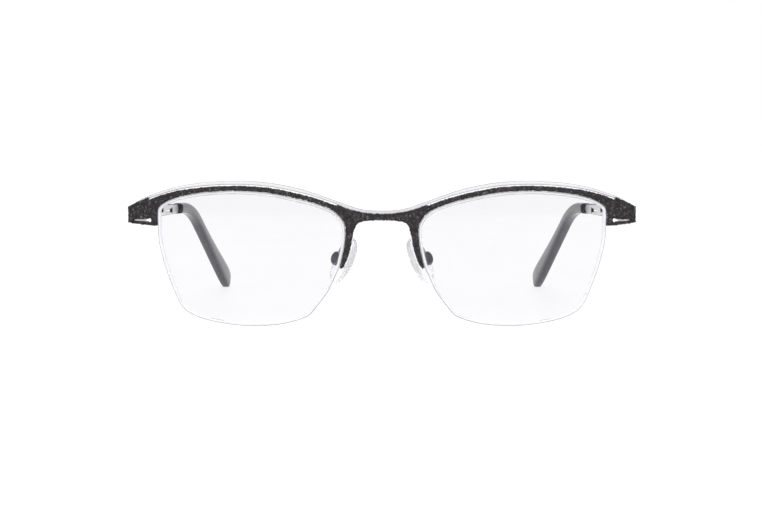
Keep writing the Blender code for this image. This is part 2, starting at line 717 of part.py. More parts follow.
def knuckle(way, low):
    """One knuckle with its arm out to the leaf, towards the front if way is -1 and the temple if it is 1."""
    into_leaf = sum(LEAF_ACROSS) / 2
    foot = -math.acos(-BUTT_GAP / BARREL_RADIUS)
    loop = arc((0, 0), BARREL_RADIUS, math.pi, foot, ROUND_SIDES)
    loop += [Vector((-BUTT_GAP, into_leaf)), Vector((-BARREL_RADIUS, into_leaf))]
    bore = circle((0, 0), BORE_RADIUS, SCREW_SIDES)
    return flat_shape([mirrored(loop, -way), bore], low, low + KNUCKLE_HEIGHT)


def make_hinge_half(name, way, leaf_end, lows, side, finish, parent):
    """A hinge leaf with its knuckles, joined into one piece."""
    near, far = sorted((way * BUTT_GAP, leaf_end))
    leaf = [Vector(corner) for corner in (
        (near, LEAF_ACROSS[0]), (far, LEAF_ACROSS[0]), (far, LEAF_ACROSS[1]), (near, LEAF_ACROSS[1])
    )]
    shape = flat_shape([leaf], HINGE_LOW, HINGE_HIGH)
    shape.transform(HINGE_FRAME)
    half = add_object(f"{name}_{SIDE_NAME[side]}", shape, finish, side, parent)
    for i, low in enumerate(lows):
        shape = knuckle(way, low)
        shape.transform(HINGE_FRAME)
        addition = add_object(f"cut_{name}_{i}_{SIDE_NAME[side]}", shape, None, side, parent, cutters)
        boolean(half, addition, "UNION")
    return half


def make_hinge_screw(side, finish, parent):
    seat = HINGE_HIGH + SCREW_SEAT_GAP
    top = seat + SCREW_HEAD_HEIGHT
    outline = [
        (0, top), (SCREW_HEAD_RADIUS - SCREW_HEAD_CHAMFER, top),
        (SCREW_HEAD_RADIUS, top - SCREW_HEAD_CHAMFER), (SCREW_HEAD_RADIUS, seat), (SCREW_RADIUS, seat),
        (SCREW_RADIUS, HINGE_LOW), (0, HINGE_LOW),
    ]
    name = f"hinge_screw_{SIDE_NAME[side]}"
    screw = turned(name, outline, finish, PIN, (0, 0, 1), side, parent, SCREW_SIDES)
    slot = block(SCREW_SLOT, Matrix.Translation(PIN + Vector((0, 0, top))))
    boolean(screw, add_object(f"cut_screw_{SIDE_NAME[side]}", slot, None, side, parent, cutters))
    return screw


# ---------------------------------------------------------------- the temples

EAR_STATIONS = [EAR_BEND_START + EAR_BEND_RADIUS * EAR_DROP * i / EAR_STEPS for i in range(EAR_STEPS + 1)]
TIP_STEP = TIP_START - BUTT_GAP


def beside_line(s, up):
    """A point beside the temple's line at s, so far above it, as along and z."""
    place, fall = temple_line(s)
    return place + up * Vector((math.sin(fall), math.cos(fall)))


def make_temple(side, finish, parent):
    """The flat temple with its keyhole slots, and the narrow core that runs on inside the tip."""
    blade = (BUTT_GAP / 2, *TEMPLE_STATIONS, TIP_STEP)
    core = (TIP_STEP, *CORE_STATIONS, *EAR_STATIONS, CORE_STRAIGHT, CORE_END)
    heights = [(s, between(TEMPLE_HEIGHTS, s)[0]) for s in blade] + [(s, CORE_HALF_HEIGHT) for s in core]
    upper = [beside_line(s, half) for s, half in heights]
    lower = [beside_line(s, -half) for s, half in reversed(heights)]
    slots = [keyhole(**slot) for slot in TEMPLE_SLOTS]
    shape = flat_shape([[*lower, *upper], *slots], -SHEET / 2, SHEET / 2, LEAN_CUTS)
    reshape(shape, form_temple)
    return add_object(f"temple_{SIDE_NAME[side]}", shape, finish, side, parent)


def tip_ring(s, half_height, half_thickness, roundness, across):
    """A closed loop round the temple's line at s, its middle so far in from the middle of the sheet."""
    ring = []
    for point in rounded(half_thickness, half_height, roundness, TIP_SIDES):
        along, z = beside_line(s, point.y)
        ring.append(form_temple(along, z, across + point.x))
    return ring


def make_temple_tip(side, finish, parent):
    """The tip, swept along the temple's line, with a pocket for the core and a flat where it rests."""
    starts = [row[0] for row in TIP_SECTIONS]
    count = round((TEMPLE_END - TIP_START) / TIP_STATION)
    even = [TIP_START + (TEMPLE_END - TIP_START) * i / count for i in range(count + 1)]
    clear = [s for s in even if min(abs(s - start) for start in starts) > TIP_STATION / 2]
    stations = sorted({*starts, *clear})
    outer = [tip_ring(s, *between(TIP_SECTIONS, s), TIP_ROUNDNESS, TIP_ACROSS) for s in stations]
    pocket_size = (CORE_HALF_HEIGHT + CORE_CLEARANCE, SHEET / 2 + CORE_CLEARANCE)
    pocket_stations = [s for s in stations if s < CORE_END] + [CORE_POCKET_END]
    inner = [tip_ring(s, *pocket_size, POCKET_ROUNDNESS, 0) for s in reversed(pocket_stations)]
    shape = loft([*inner, *outer])
    everything = [*shape.verts, *shape.edges, *shape.faces]
    cut = bmesh.ops.bisect_plane(
        shape, geom=everything, dist=WELD, plane_co=(0, 0, 0), plane_no=(0, 0, -1), clear_outer=True
    )
    rim = [item for item in cut["geom_cut"] if isinstance(item, bmesh.types.BMEdge)]
    if rim:
        bmesh.ops.contextual_create(shape, geom=rim)
    return add_object(f"temple_tip_{SIDE_NAME[side]}", face_out(shape), finish, side, parent)


# ---------------------------------------------------------------- the whole


def centre_on_origin(assembly):
    """Moves the whole so that the origin is at the bottom centre of its box."""
    bpy.context.view_layer.update()
    graph = bpy.context.evaluated_depsgraph_get()
    corners = []
    for piece in parts.objects:
        if piece.type == "MESH":
            drawn = piece.evaluated_get(graph)
            corners += [drawn.matrix_world @ vert.co for vert in drawn.data.vertices]
    low, high = (limit(corner.y for corner in corners) for limit in (min, max))
    assembly.location.y = -(low + high) / 2


def main():
    for old in list(bpy.data.objects):
        bpy.data.objects.remove(old)
    for collection in (parts, cutters):
        bpy.context.scene.collection.children.link(collection)
    cutters.hide_render = True

    black = material("pebbled_black_paint", (0.012, 0.011, 0.012), 0.55, 0.3)
    pale = material("pearl_white_lacquer", (0.86, 0.86, 0.87), 0.25, 0.4)
    lacquer = material("temple_lacquer", (0.72, 0.72, 0.74), 0.32, 0.6)
    satin = material("satin_steel", (0.72, 0.72, 0.74), 0.32, 1.0)
    gunmetal = material("gunmetal_plate", (0.16, 0.16, 0.18), 0.35, 1.0)
    nylon = material("clear_nylon", (0.9, 0.9, 0.92), 0.25, 0.0, 0.8)
    clear = material("lens_plastic", (0.96, 0.97, 1.0), 0.02, 0.0, 1.0)
    silicone = material("clear_silicone", (0.93, 0.94, 0.95), 0.3, 0.0, 0.9)
    plastic = material("insert_plastic", (0.93, 0.94, 0.95), 0.2, 0.0, 0.8)
    acetate = material("slate_acetate", (0.06, 0.062, 0.075), 0.12)

    assembly = axis_empty("assembly", (0, 0, 0), None)
    make_front_plate(black, assembly)
    make_brow_bar(pale, assembly)
    for side in (1, -1):
        mirror = Vector((side, 1, 1))
        pad_axis = axis_empty(f"pad_axis_{SIDE_NAME[side]}", PAD_PIN * mirror, assembly)
        hinge_axis = (PIN + Vector((0, 0, HINGE_Z))) * mirror
        temple_axis = axis_empty(f"temple_axis_{SIDE_NAME[side]}", hinge_axis, assembly)
        make_lens(side, clear, assembly)
        make_lens_cord(side, nylon, assembly)
        make_rim_liner(side, nylon, assembly)
        make_pad_arm(side, gunmetal, assembly)
        make_pad_cup(side, gunmetal, assembly)
        make_pad_screw(side, satin, assembly)
        make_hinge_half("hinge_front", -1, FRONT_LEAF_END, KNUCKLE_LOWS[::2], side, satin, assembly)
        make_hinge_screw(side, satin, assembly)
        make_nose_pad(side, silicone, pad_axis)
        make_pad_insert(side, plastic, pad_axis)
        make_hinge_half("hinge_temple", 1, TEMPLE_LEAF_END, KNUCKLE_LOWS[1:2], side, satin, temple_axis)
        make_temple(side, lacquer, temple_axis)
        make_temple_tip(side, acetate, temple_axis)
    centre_on_origin(assembly)


main()
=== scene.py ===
import json
import math

import bmesh
import bpy
import numpy as np
from mathutils import Matrix, Vector
from mathutils.geometry import delaunay_2d_cdt
from mathutils.kdtree import KDTree


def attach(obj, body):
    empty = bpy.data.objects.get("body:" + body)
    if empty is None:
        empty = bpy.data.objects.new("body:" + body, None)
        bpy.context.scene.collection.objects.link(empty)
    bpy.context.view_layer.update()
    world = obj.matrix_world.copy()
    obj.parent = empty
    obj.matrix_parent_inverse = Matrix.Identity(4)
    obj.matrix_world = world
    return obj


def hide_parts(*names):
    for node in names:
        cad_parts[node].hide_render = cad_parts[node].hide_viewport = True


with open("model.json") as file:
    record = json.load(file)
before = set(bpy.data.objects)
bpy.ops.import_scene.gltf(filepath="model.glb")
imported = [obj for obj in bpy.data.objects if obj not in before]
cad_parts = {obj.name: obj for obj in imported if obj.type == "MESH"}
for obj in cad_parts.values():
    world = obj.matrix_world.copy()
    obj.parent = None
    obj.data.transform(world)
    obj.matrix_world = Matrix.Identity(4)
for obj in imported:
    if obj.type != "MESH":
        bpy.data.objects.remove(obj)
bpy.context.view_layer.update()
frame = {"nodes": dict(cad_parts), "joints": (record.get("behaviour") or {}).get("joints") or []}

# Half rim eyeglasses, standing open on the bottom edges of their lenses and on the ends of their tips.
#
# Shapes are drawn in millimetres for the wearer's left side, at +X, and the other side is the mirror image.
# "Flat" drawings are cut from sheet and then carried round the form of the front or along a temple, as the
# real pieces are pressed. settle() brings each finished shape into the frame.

MM = 0.001
SIDES = {"right": 1, "left": -1}
SEED = 7

# ---- the form of the front, as pressed

LENS_CENTRE_X = 35.5
LENS_CENTRE_Z = 18.5
LENS_RADIUS = 150.0
FACE_FORM_SLOPE = 0.10
BRIDGE_HALF = 10.0
PANTOSCOPIC_SLOPE = 0.0875
LEVEL_Z = 31.0
FORM_FADE = (61.0, 66.0)
BEND_START = 66.1
BEND_RADIUS = 5.5
TEMPLE_LEAN = math.radians(5.5)
RETURN_LEG = 1.4
SHEET = 0.8
BAR_THICKNESS = 0.9
LAYER_GAP = 0.3

# ---- outlines

LENS_UPPER = [
    (61.15, 27.5), (61.2, 30.4), (61.0, 32.1), (60.0, 33.2), (57.9, 34.4), (54.4, 35.5), (49.4, 36.4),
    (44.0, 36.85), (39.1, 36.95), (33.3, 36.65), (28.4, 36.0), (23.6, 35.0), (18.8, 33.8), (15.1, 32.5),
    (13.0, 31.4), (11.3, 29.8), (10.2, 28.0), (9.95, 25.7), (10.1, 23.3), (10.7, 19.9), (11.6, 16.4),
]
LENS_LOWER = [
    (13.0, 13.1), (14.6, 9.7), (16.9, 6.5), (19.6, 3.2), (21.6, 2.1), (25.7, 0.9), (29.6, 0.25),
    (34.6, 0.0), (38.8, 0.1), (43.2, 0.6), (47.2, 1.35), (51.2, 2.6), (53.9, 4.2), (55.5, 6.2),
    (57.3, 10.5), (59.0, 15.2), (60.2, 19.6), (61.0, 23.5),
]
LENS_THICKNESS = 1.9
RIM_GAP = 0.15
GROOVE_HALF = 0.4
GROOVE_DEPTH = 0.85
EDGE_CHAMFER = 0.12
CORD_RADIUS = 0.28
CORD_INSET = 0.42
LINER_RADIUS = 0.2
LINER_INSET = 0.2

BRIDGE_TOP = [(0.0, 30.7), (2.1, 30.72), (5.0, 31.05), (7.8, 31.65), (9.9, 32.3), (12.0, 33.15)]
BROW_TOP = [
    (12.5, 32.95), (15.3, 34.0), (19.7, 35.4), (24.6, 36.6), (29.4, 37.55), (34.7, 38.1), (40.1, 38.25),
    (45.0, 38.1), (50.5, 37.65), (55.4, 36.95), (60.0, 35.8), (63.5, 34.5),
]
END_PIECE = [(64.1, 34.45), (64.35, 34.95), (66.1, 34.25), (68.3, 33.4), (70.4, 32.7), (71.8, 32.4)]
END_BOTTOM = [(70.7, 28.2), (66.0, 27.75), (62.3, 27.45)]
LEG_TIP = [(11.1, 15.9), (10.45, 16.5)]
LEG_NASAL = [
    (9.75, 17.9), (8.95, 20.2), (8.3, 23.4), (7.75, 25.9), (7.3, 27.3), (6.6, 28.2), (5.6, 28.65),
    (4.4, 28.9), (1.6, 29.1), (0.0, 29.1),
]
RETURN_TOP = 32.4
RETURN_BOTTOM = 28.2
END_SLOT = {"bulb": (63.75, 28.88), "radius": 0.55, "end": 69.1, "half": 0.17}

BAR_TOP = [
    (0.0, 31.6), (4.0, 31.75), (6.7, 32.3), (9.7, 33.3), (13.1, 34.5), (17.3, 36.0), (21.1, 37.25),
    (24.8, 38.15), (29.4, 39.0), (34.7, 39.55), (40.1, 39.7), (45.1, 39.5), (50.5, 39.05), (57.0, 37.9),
    (63.8, 35.75), (67.0, 34.4), (69.8, 33.0),
]
BAR_OUTER_FOOT = [(69.8, 32.0), (67.0, 33.0), (64.5, 34.0)]
BAR_OVER_SLOT = [
    (64.2, 34.95), (57.0, 37.05), (50.5, 38.1), (45.0, 38.55), (40.1, 38.68), (34.7, 38.5), (29.4, 37.95),
    (24.6, 37.05), (19.7, 35.85), (15.3, 34.45), (12.3, 33.4),
]
BAR_BRIDGE_FOOT = [(12.0, 32.3), (9.7, 31.4), (5.0, 30.3), (0.0, 29.95)]

# ---- hinges and temples

PIN_TO_SHEET = 2.8
BUTT_GAP = 0.3
FRONT_BARE = 0.35
TEMPLE_BARE = 0.4
HINGE_Z = 30.3
EAR_BEND_START = 62.0
EAR_BEND_RADIUS = 55.0
EAR_DROP = math.radians(26)
LEAN_IN_START = 80.0
LEAN_IN = 0.0003
TEMPLE_HEIGHTS = [(0.0, 2.1), (12.0, 2.0), (30.0, 1.75), (55.5, 1.42)]
TIP_START = 56.5
CORE_HALF_HEIGHT = 0.8
CORE_END = 116.0
TEMPLE_SLOTS = [
    {"bulb": (36.0, 30.5), "radius": 0.8, "end": 28.0, "half": 0.2},
    {"bulb": (48.0, 30.0), "radius": 0.8, "end": 40.2, "half": 0.2},
]
TIP_SECTIONS = [
    (56.5, 1.5, 1.55), (57.1, 1.65, 1.7), (66.0, 1.7, 1.7), (92.0, 1.9, 1.7), (105.0, 2.3, 1.7),
    (118.0, 2.9, 1.7), (130.0, 3.5, 1.65), (135.5, 3.55, 1.5), (138.2, 3.1, 1.3), (139.5, 2.1, 0.8),
]
TIP_ROUNDNESS = 3.2
TIP_ACROSS = 0.2
CORE_CLEARANCE = 0.18
CORE_POCKET_END = 117.0
POCKET_ROUNDNESS = 8

# ---- nose pads

PAD_CENTRE = Vector((10.25, 7.5, 17.6))
PAD_LONG_AXIS = Vector((0.41, 0.08, -0.91)).normalized()
PAD_FACING = Vector((-0.76, 0.60, -0.24))
PAD_LENGTH = 13.4
PAD_WIDTH = 7.2
PAD_THICKNESS = 2.8
PAD_ROUNDNESS = 2.3
INSERT_HALF = (2.5, 1.6)
INSERT_THICKNESS = 0.45
POCKET_GAP = 0.16
CUP_HEIGHT = 1.8
CUP_TO_PAD = 0.55
ARM_RADIUS = 0.48
ARM_PATH = [(9.0, 0.6, 24.1), (9.15, 2.2, 24.6), (9.8, 3.9, 24.2), (10.55, 5.0, 22.8)]
ARM_TO_CUP = (3.2, 2.12)
ARM_TAPER = 0.85
ARM_SIDES = 24

# ---- how finely things are made

OUTLINE_STEPS = 8
OUTLINE_SPACING = 0.3
FACE_SPACING = 0.55
CLEAR_OF_EDGE = 0.6
EDGE_ROUND = 0.13
EDGE_STEPS = 3
SHARP_ANGLE = math.radians(40)


# ---- curves


def smooth(points, steps, closed=False):
    """Points on the smooth curve through the given ones, so many to a span."""
    points = [Vector(point) for point in points]
    count = len(points)

    def neighbour(i):
        return points[i % count] if closed else points[min(max(i, 0), count - 1)]

    def slope(i):
        before, here, after = neighbour(i - 1), neighbour(i), neighbour(i + 1)
        return (after - before) / ((here - before).length + (after - here).length)

    curve = []
    for i in range(count if closed else count - 1):
        start, end = neighbour(i), neighbour(i + 1)
        span = (end - start).length
        for step in range(steps):
            t = step / steps
            curve.append(
                (2 * t**3 - 3 * t**2 + 1) * start
                + (t**3 - 2 * t**2 + t) * span * slope(i)
                + (3 * t**2 - 2 * t**3) * end
                + (t**3 - t**2) * span * slope(i + 1)
            )
    return curve if closed else curve + [points[-1]]


def inset(loop, distance):
    """The closed loop moved to the left of its travel by a distance."""
    moved = []
    for i, here in enumerate(loop):
        along = (loop[(i + 1) % len(loop)] - loop[i - 1]).normalized()
        moved.append(here + distance * Vector((-along.y, along.x)))
    return moved


def between(table, place):
    """The values at a place along a table whose rows start with their places."""
    for low, high in zip(table, table[1:]):
        if place <= high[0]:
            share = max(0.0, (place - low[0]) / (high[0] - low[0]))
            return [a + share * (b - a) for a, b in zip(low[1:], high[1:])]
    return list(table[-1][1:])


def arc(centre, radius, start, end, steps):
    """Points along a round arc, with both its ends."""
    turns = [start + (end - start) * i / steps for i in range(steps + 1)]
    return [Vector(centre) + radius * Vector((math.cos(turn), math.sin(turn))) for turn in turns]


def mirrored(loop, way=-1):
    """The loop, turned over left to right if way is -1."""
    return [Vector((way * point[0], point[1])) for point in loop]


def keyhole(bulb, radius, end, half):
    """A slot with a round bulb, from which a narrow neck runs to a small round end."""
    neck = math.asin(0.6)
    length = abs(end - bulb[0]) - half
    loop = arc((0, 0), radius, neck, 2 * math.pi - neck, 28)
    loop += arc((length, 0), half, -math.pi / 2, math.pi / 2, 8)
    return [Vector(bulb) + point for point in mirrored(loop, math.copysign(1, end - bulb[0]))]


def rounded(half_x, half_y, roundness, sides):
    """A closed loop between an ellipse (roundness 2) and a rectangle (a large roundness)."""
    power = 2 / roundness
    first = math.pi / sides
    loop = []
    for x, y in arc((0, 0), 1, first, first + 2 * math.pi, sides)[:-1]:
        drawn_x = math.copysign(abs(x) ** power, x)
        drawn_y = math.copysign(abs(y) ** power, y)
        loop.append(Vector((half_x * drawn_x, half_y * drawn_y)))
    return loop


# ---- pressed forms


def lens_arc(x):
    return FACE_FORM_SLOPE * (x - LENS_CENTRE_X) + (x - LENS_CENTRE_X) ** 2 / (2 * LENS_RADIUS)


BRIDGE_SLOPE = FACE_FORM_SLOPE + (BRIDGE_HALF - LENS_CENTRE_X) / LENS_RADIUS
BRIDGE_SETBACK = lens_arc(BRIDGE_HALF) - BRIDGE_SLOPE * BRIDGE_HALF / 2


def plan(x):
    """How far back the middle of the sheet lies at x, and its slope there, for x from 0 to the bend."""
    if x < BRIDGE_HALF:
        return BRIDGE_SLOPE * x * x / (2 * BRIDGE_HALF), BRIDGE_SLOPE * x / BRIDGE_HALF
    return lens_arc(x) - BRIDGE_SETBACK, FACE_FORM_SLOPE + (x - LENS_CENTRE_X) / LENS_RADIUS


BEND_FROM = math.atan(plan(BEND_START)[1])
BEND_TO = math.pi / 2 + TEMPLE_LEAN
BEND_END = BEND_START + BEND_RADIUS * (BEND_TO - BEND_FROM)
FRONT_END = BEND_END + RETURN_LEG


def middle(u):
    """The middle of the sheet at u along the flat pattern, and its heading, for the +X side."""
    if u <= BEND_START:
        back, slope = plan(u)
        return Vector((u, back)), math.atan(slope)
    heading = min(BEND_FROM + (u - BEND_START) / BEND_RADIUS, BEND_TO)
    start = Vector((BEND_START, plan(BEND_START)[0]))
    place = start + BEND_RADIUS * Vector(
        (math.sin(heading) - math.sin(BEND_FROM), math.cos(BEND_FROM) - math.cos(heading))
    )
    straight = max(0.0, u - BEND_END)
    return place + straight * Vector((math.cos(heading), math.sin(heading))), heading


def profile(z):
    """How far back the front lies at height z, beside what it does at the level of the temples."""
    bulge = (z - LENS_CENTRE_Z) ** 2 - (LEVEL_Z - LENS_CENTRE_Z) ** 2
    return bulge / (2 * LENS_RADIUS) + PANTOSCOPIC_SLOPE * (LEVEL_Z - z)


def form_front(u, z, depth):
    """Carries a point of the flat front, with its depth behind the sheet's middle, to the formed front."""
    place, heading = middle(abs(u))
    place = place + depth * Vector((-math.sin(heading), math.cos(heading)))
    share = min(1.0, max(0.0, (abs(u) - FORM_FADE[0]) / (FORM_FADE[1] - FORM_FADE[0])))
    fade = 1 - share * share * (3 - 2 * share)
    return Vector((math.copysign(place.x, u), place.y + fade * profile(z), z))


ALONG = Vector((math.cos(BEND_TO), math.sin(BEND_TO), 0))
ACROSS = Vector((-math.sin(BEND_TO), math.cos(BEND_TO), 0))
PIN = middle(FRONT_END)[0].to_3d() + BUTT_GAP / 2 * ALONG + PIN_TO_SHEET * ACROSS


def form_temple(along, z, across):
    """Carries a point of the flat temple, with its distance in from the sheet's middle, to its place."""
    lean_in = LEAN_IN * max(0.0, along - LEAN_IN_START) ** 2
    return PIN + along * ALONG + (across + lean_in - PIN_TO_SHEET) * ACROSS + Vector((0, 0, z))


def temple_line(s):
    """The middle of the temple at a length s back from the pin, as along and z, and its fall there."""
    arc_length = EAR_BEND_RADIUS * EAR_DROP
    fall = min(max(0.0, (s - EAR_BEND_START) / EAR_BEND_RADIUS), EAR_DROP)
    along = min(s, EAR_BEND_START) + EAR_BEND_RADIUS * math.sin(fall)
    z = HINGE_Z - EAR_BEND_RADIUS * (1 - math.cos(fall))
    straight = max(0.0, s - EAR_BEND_START - arc_length)
    return Vector((along + straight * math.cos(fall), z - straight * math.sin(fall))), fall


def beside_line(s, up):
    """A point beside the temple's line at s, so far above it, as along and z."""
    place, fall = temple_line(s)
    return place + up * Vector((math.sin(fall), math.cos(fall)))


# The drawings' hinge pin lies on the frame's folding axis, which fixes where everything else is.
fold_axis = next(joint for joint in frame["joints"] if joint["name"] == "temple_fold_right")["pos_m"]
DRAWING_TO_FRAME = Matrix.Translation((0, fold_axis[1] - PIN.y * MM, 0)) @ Matrix.Scale(MM, 4)


# ---- making pieces


def linked(name, data):
    """An object for a mesh, lamp or camera, put in the scene."""
    made = bpy.data.objects.new(name, data)
    bpy.context.scene.collection.objects.link(made)
    return made


def stand_for(node):
    """Hides the plain part, in whose place a finished piece stands."""
    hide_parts(node)


def settle(name, points, faces, finishes, body, side=1, kinds=None, values=None, face_values=None):
    """A smooth-shaded piece in the frame, from points in millimetres drawn for the +X side.

    kinds gives each face's finish, values holds named numbers for each point, and face_values a yes or no
    for each face.
    """
    flip = Matrix.Scale(side, 4, (1, 0, 0))
    place = DRAWING_TO_FRAME @ flip
    mesh = bpy.data.meshes.new(name)
    mesh.from_pydata([place @ Vector(point) for point in points], [], faces)
    if kinds is not None:
        mesh.polygons.foreach_set("material_index", kinds)
    for label, numbers in (values or {}).items():
        mesh.attributes.new(label, "FLOAT", "POINT").data.foreach_set("value", numbers)
    for label, answers in (face_values or {}).items():
        mesh.attributes.new(label, "BOOLEAN", "FACE").data.foreach_set("value", answers)
    for finish in finishes:
        mesh.materials.append(finish)
    shape = bmesh.new()
    shape.from_mesh(mesh)
    if shape.calc_volume(signed=True) < 0:
        bmesh.ops.reverse_faces(shape, faces=shape.faces)
    shape.to_mesh(mesh)
    shape.free()
    mesh.shade_smooth()
    mesh.set_sharp_from_angle(angle=SHARP_ANGLE)
    piece = linked(name, mesh)
    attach(piece, body)
    return piece


def loft(rings):
    """Points and faces through closed rings of equally many points, with a fan over each end."""
    points = [tuple(point) for ring in rings for point in ring]
    count = len(rings[0])
    faces = []
    for k in range(len(rings) - 1):
        for i in range(count):
            j = (i + 1) % count
            faces.append((k * count + i, k * count + j, (k + 1) * count + j, (k + 1) * count + i))
    for k, turn in ((0, -1), (len(rings) - 1, 1)):
        hub = len(points)
        points.append(tuple(sum((Vector(point) for point in rings[k]), Vector((0, 0, 0))) / count))
        for i in range(count):
            face = (k * count + i, k * count + (i + 1) % count, hub)
            faces.append(face[::turn])
    return points, faces


def spaced(loop, step):
    """The closed loop with a point at least every step, and none that repeats."""
    points = []
    for i, here in enumerate(loop):
        span = loop[(i + 1) % len(loop)] - here
        if span.length < 1e-4:
            continue
        count = math.ceil(span.length / step)
        points += [here + span * j / count for j in range(count)]
    return points


def turned_way(loop, anticlockwise):
    area = sum(a.x * b.y - b.x * a.y for a, b in zip(loop, loop[1:] + loop[:1]))
    return loop if (area > 0) == anticlockwise else loop[::-1]


def within(places, loops):
    """Whether each place lies inside the first loop and outside the others, by counting crossings."""
    inside = np.zeros(len(places), bool)
    for loop in loops:
        for (x0, y0), (x1, y1) in zip(loop, loop[1:] + loop[:1]):
            if y0 != y1:
                across = x0 + (places[:, 1] - y0) * (x1 - x0) / (y1 - y0)
                inside ^= ((places[:, 1] < y0) != (places[:, 1] < y1)) & (places[:, 0] < across)
    return inside


def filled(loops, spacing):
    """Points and triangles that fill what the loops bound. The loops' own points come first, in order."""
    corners = [point for loop in loops for point in loop]
    edges = []
    start = 0
    for loop in loops:
        edges += [(start + i, start + (i + 1) % len(loop)) for i in range(len(loop))]
        start += len(loop)
    near = KDTree(len(corners))
    for i, point in enumerate(corners):
        near.insert(point.to_3d(), i)
    near.balance()
    low = [min(point[axis] for point in corners) for axis in (0, 1)]
    high = [max(point[axis] for point in corners) for axis in (0, 1)]
    row_height = spacing * math.sqrt(3) / 2
    rows = math.ceil((high[1] - low[1]) / row_height)
    lattice = [
        (low[0] + spacing * (i + row % 2 / 2), low[1] + row_height * row)
        for row in range(rows + 1)
        for i in range(math.ceil((high[0] - low[0]) / spacing))
    ]
    kept = within(np.array(lattice), loops)
    inner = [
        Vector(place)
        for place, keep in zip(lattice, kept)
        if keep and near.find((*place, 0))[2] > CLEAR_OF_EDGE * spacing
    ]
    made = delaunay_2d_cdt(corners + inner, edges, [], 0, 1e-5)
    points, triangles, sources = made[0], made[2], made[3]
    first_source = [source[0] for source in sources]
    wanted = corners + inner
    centres = np.array([tuple(sum((points[i] for i in face), Vector((0, 0))) / 3) for face in triangles])
    kept = within(centres, loops)
    faces = [tuple(first_source[i] for i in face) for face, keep in zip(triangles, kept) if keep]
    return wanted, faces


def pressed_sheet(loops, low, high, form, spacing=FACE_SPACING):
    """Sheet metal cut along the first loop and the others as holes, with softly rounded edges, then formed.

    It gives the points, the faces, each face's kind (0 in front, 1 behind, 2 round the outer edge and 3
    round the holes), how far each point is from the nearest edge, and the points before they were formed.
    """
    loops = [turned_way(spaced(loop, OUTLINE_SPACING), i == 0) for i, loop in enumerate(loops)]
    flat_loops = [inset(loop, EDGE_ROUND) for loop in loops]
    face_points, triangles = filled(flat_loops, spacing)
    near = KDTree(sum(len(loop) for loop in loops))
    for i, point in enumerate(point for loop in loops for point in loop):
        near.insert(point.to_3d(), i)
    near.balance()
    from_edge = [near.find(point.to_3d())[2] for point in face_points]
    count = len(face_points)
    places = [(*point, low) for point in face_points] + [(*point, high) for point in face_points]
    distances = from_edge * 2
    faces = list(triangles) + [tuple(count + i for i in face[::-1]) for face in triangles]
    kinds = [0] * len(triangles) + [1] * len(triangles)

    corner = [math.pi / 2 * i / EDGE_STEPS for i in range(1, EDGE_STEPS + 1)]
    steps = [(EDGE_ROUND * (1 - math.sin(a)), low + EDGE_ROUND * (1 - math.cos(a))) for a in corner]
    steps += [(aside, low + high - depth) for aside, depth in reversed(steps)]
    start = 0
    for i_loop, loop in enumerate(loops):
        size = len(loop)
        rings = [list(range(start, start + size))]
        for aside, depth in steps:
            rings.append(list(range(len(places), len(places) + size)))
            places += [(*point, depth) for point in inset(loop, aside)]
            distances += [aside] * size
        rings.append(list(range(count + start, count + start + size)))
        for ring, after in zip(rings, rings[1:]):
            for i in range(size):
                j = (i + 1) % size
                faces.append((ring[i], after[i], after[j], ring[j]))
        kinds += [2 if i_loop == 0 else 3] * size * (len(rings) - 1)
        start += size
    return [form(*place) for place in places], faces, kinds, distances, places


def node_maker(tree):
    """A short way to add a node: its settings by name, and its inputs as values or as sockets to link."""

    def add(kind, inputs=None, **settings):
        made = tree.nodes.new(kind)
        for name, value in settings.items():
            setattr(made, name, value)
        for name, value in (inputs or {}).items():
            socket = made.inputs[name]
            if isinstance(value, bpy.types.NodeSocket):
                tree.links.new(value, socket)
            else:
                socket.default_value = value
        return made

    return add


def tree_inputs(tree, sockets):
    """Gives a Geometry Nodes tree its geometry sockets and its own named inputs."""
    tree.interface.new_socket("Geometry", in_out="INPUT", socket_type="NodeSocketGeometry")
    tree.interface.new_socket("Geometry", in_out="OUTPUT", socket_type="NodeSocketGeometry")
    for name, kind, value in sockets:
        tree.interface.new_socket(name, in_out="INPUT", socket_type=kind).default_value = value


def from_nodes(name, start, tree, finish, body, **inputs):
    """A plain piece on a body, made by a Geometry Nodes tree from a starting mesh and the tree's inputs."""
    raw = linked(name, start)
    modifier = raw.modifiers.new(tree.name, "NODES")
    modifier.node_group = tree
    for item in tree.interface.items_tree:
        label = item.name.lower().replace(" ", "_")
        if item.in_out == "INPUT" and label in inputs:
            modifier[item.identifier] = inputs[label]
    graph = bpy.context.evaluated_depsgraph_get()
    mesh = bpy.data.meshes.new_from_object(raw.evaluated_get(graph))
    mesh.materials.clear()
    mesh.materials.append(finish)
    bpy.data.objects.remove(raw)
    piece = linked(name, mesh)
    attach(piece, body)
    return piece


# ---- finishes


def new_finish(name):
    """A finish with one shader: the material, a node adder, the shader and the object's coordinates."""
    finish = bpy.data.materials.new(name)
    finish.use_nodes = True
    finish.node_tree.nodes.clear()
    add = node_maker(finish.node_tree)
    shader = add("ShaderNodeBsdfPrincipled")
    add("ShaderNodeOutputMaterial", {"Surface": shader.outputs["BSDF"]})
    return finish, add, shader, add("ShaderNodeTexCoord").outputs["Object"]


def feed(shader, **inputs):
    """Sets a shader's sockets to values, or links them to what drives them."""
    for name, value in inputs.items():
        socket = shader.inputs[name.replace("_", " ")]
        if isinstance(value, bpy.types.NodeSocket):
            shader.id_data.links.new(value, socket)
        else:
            socket.default_value = value


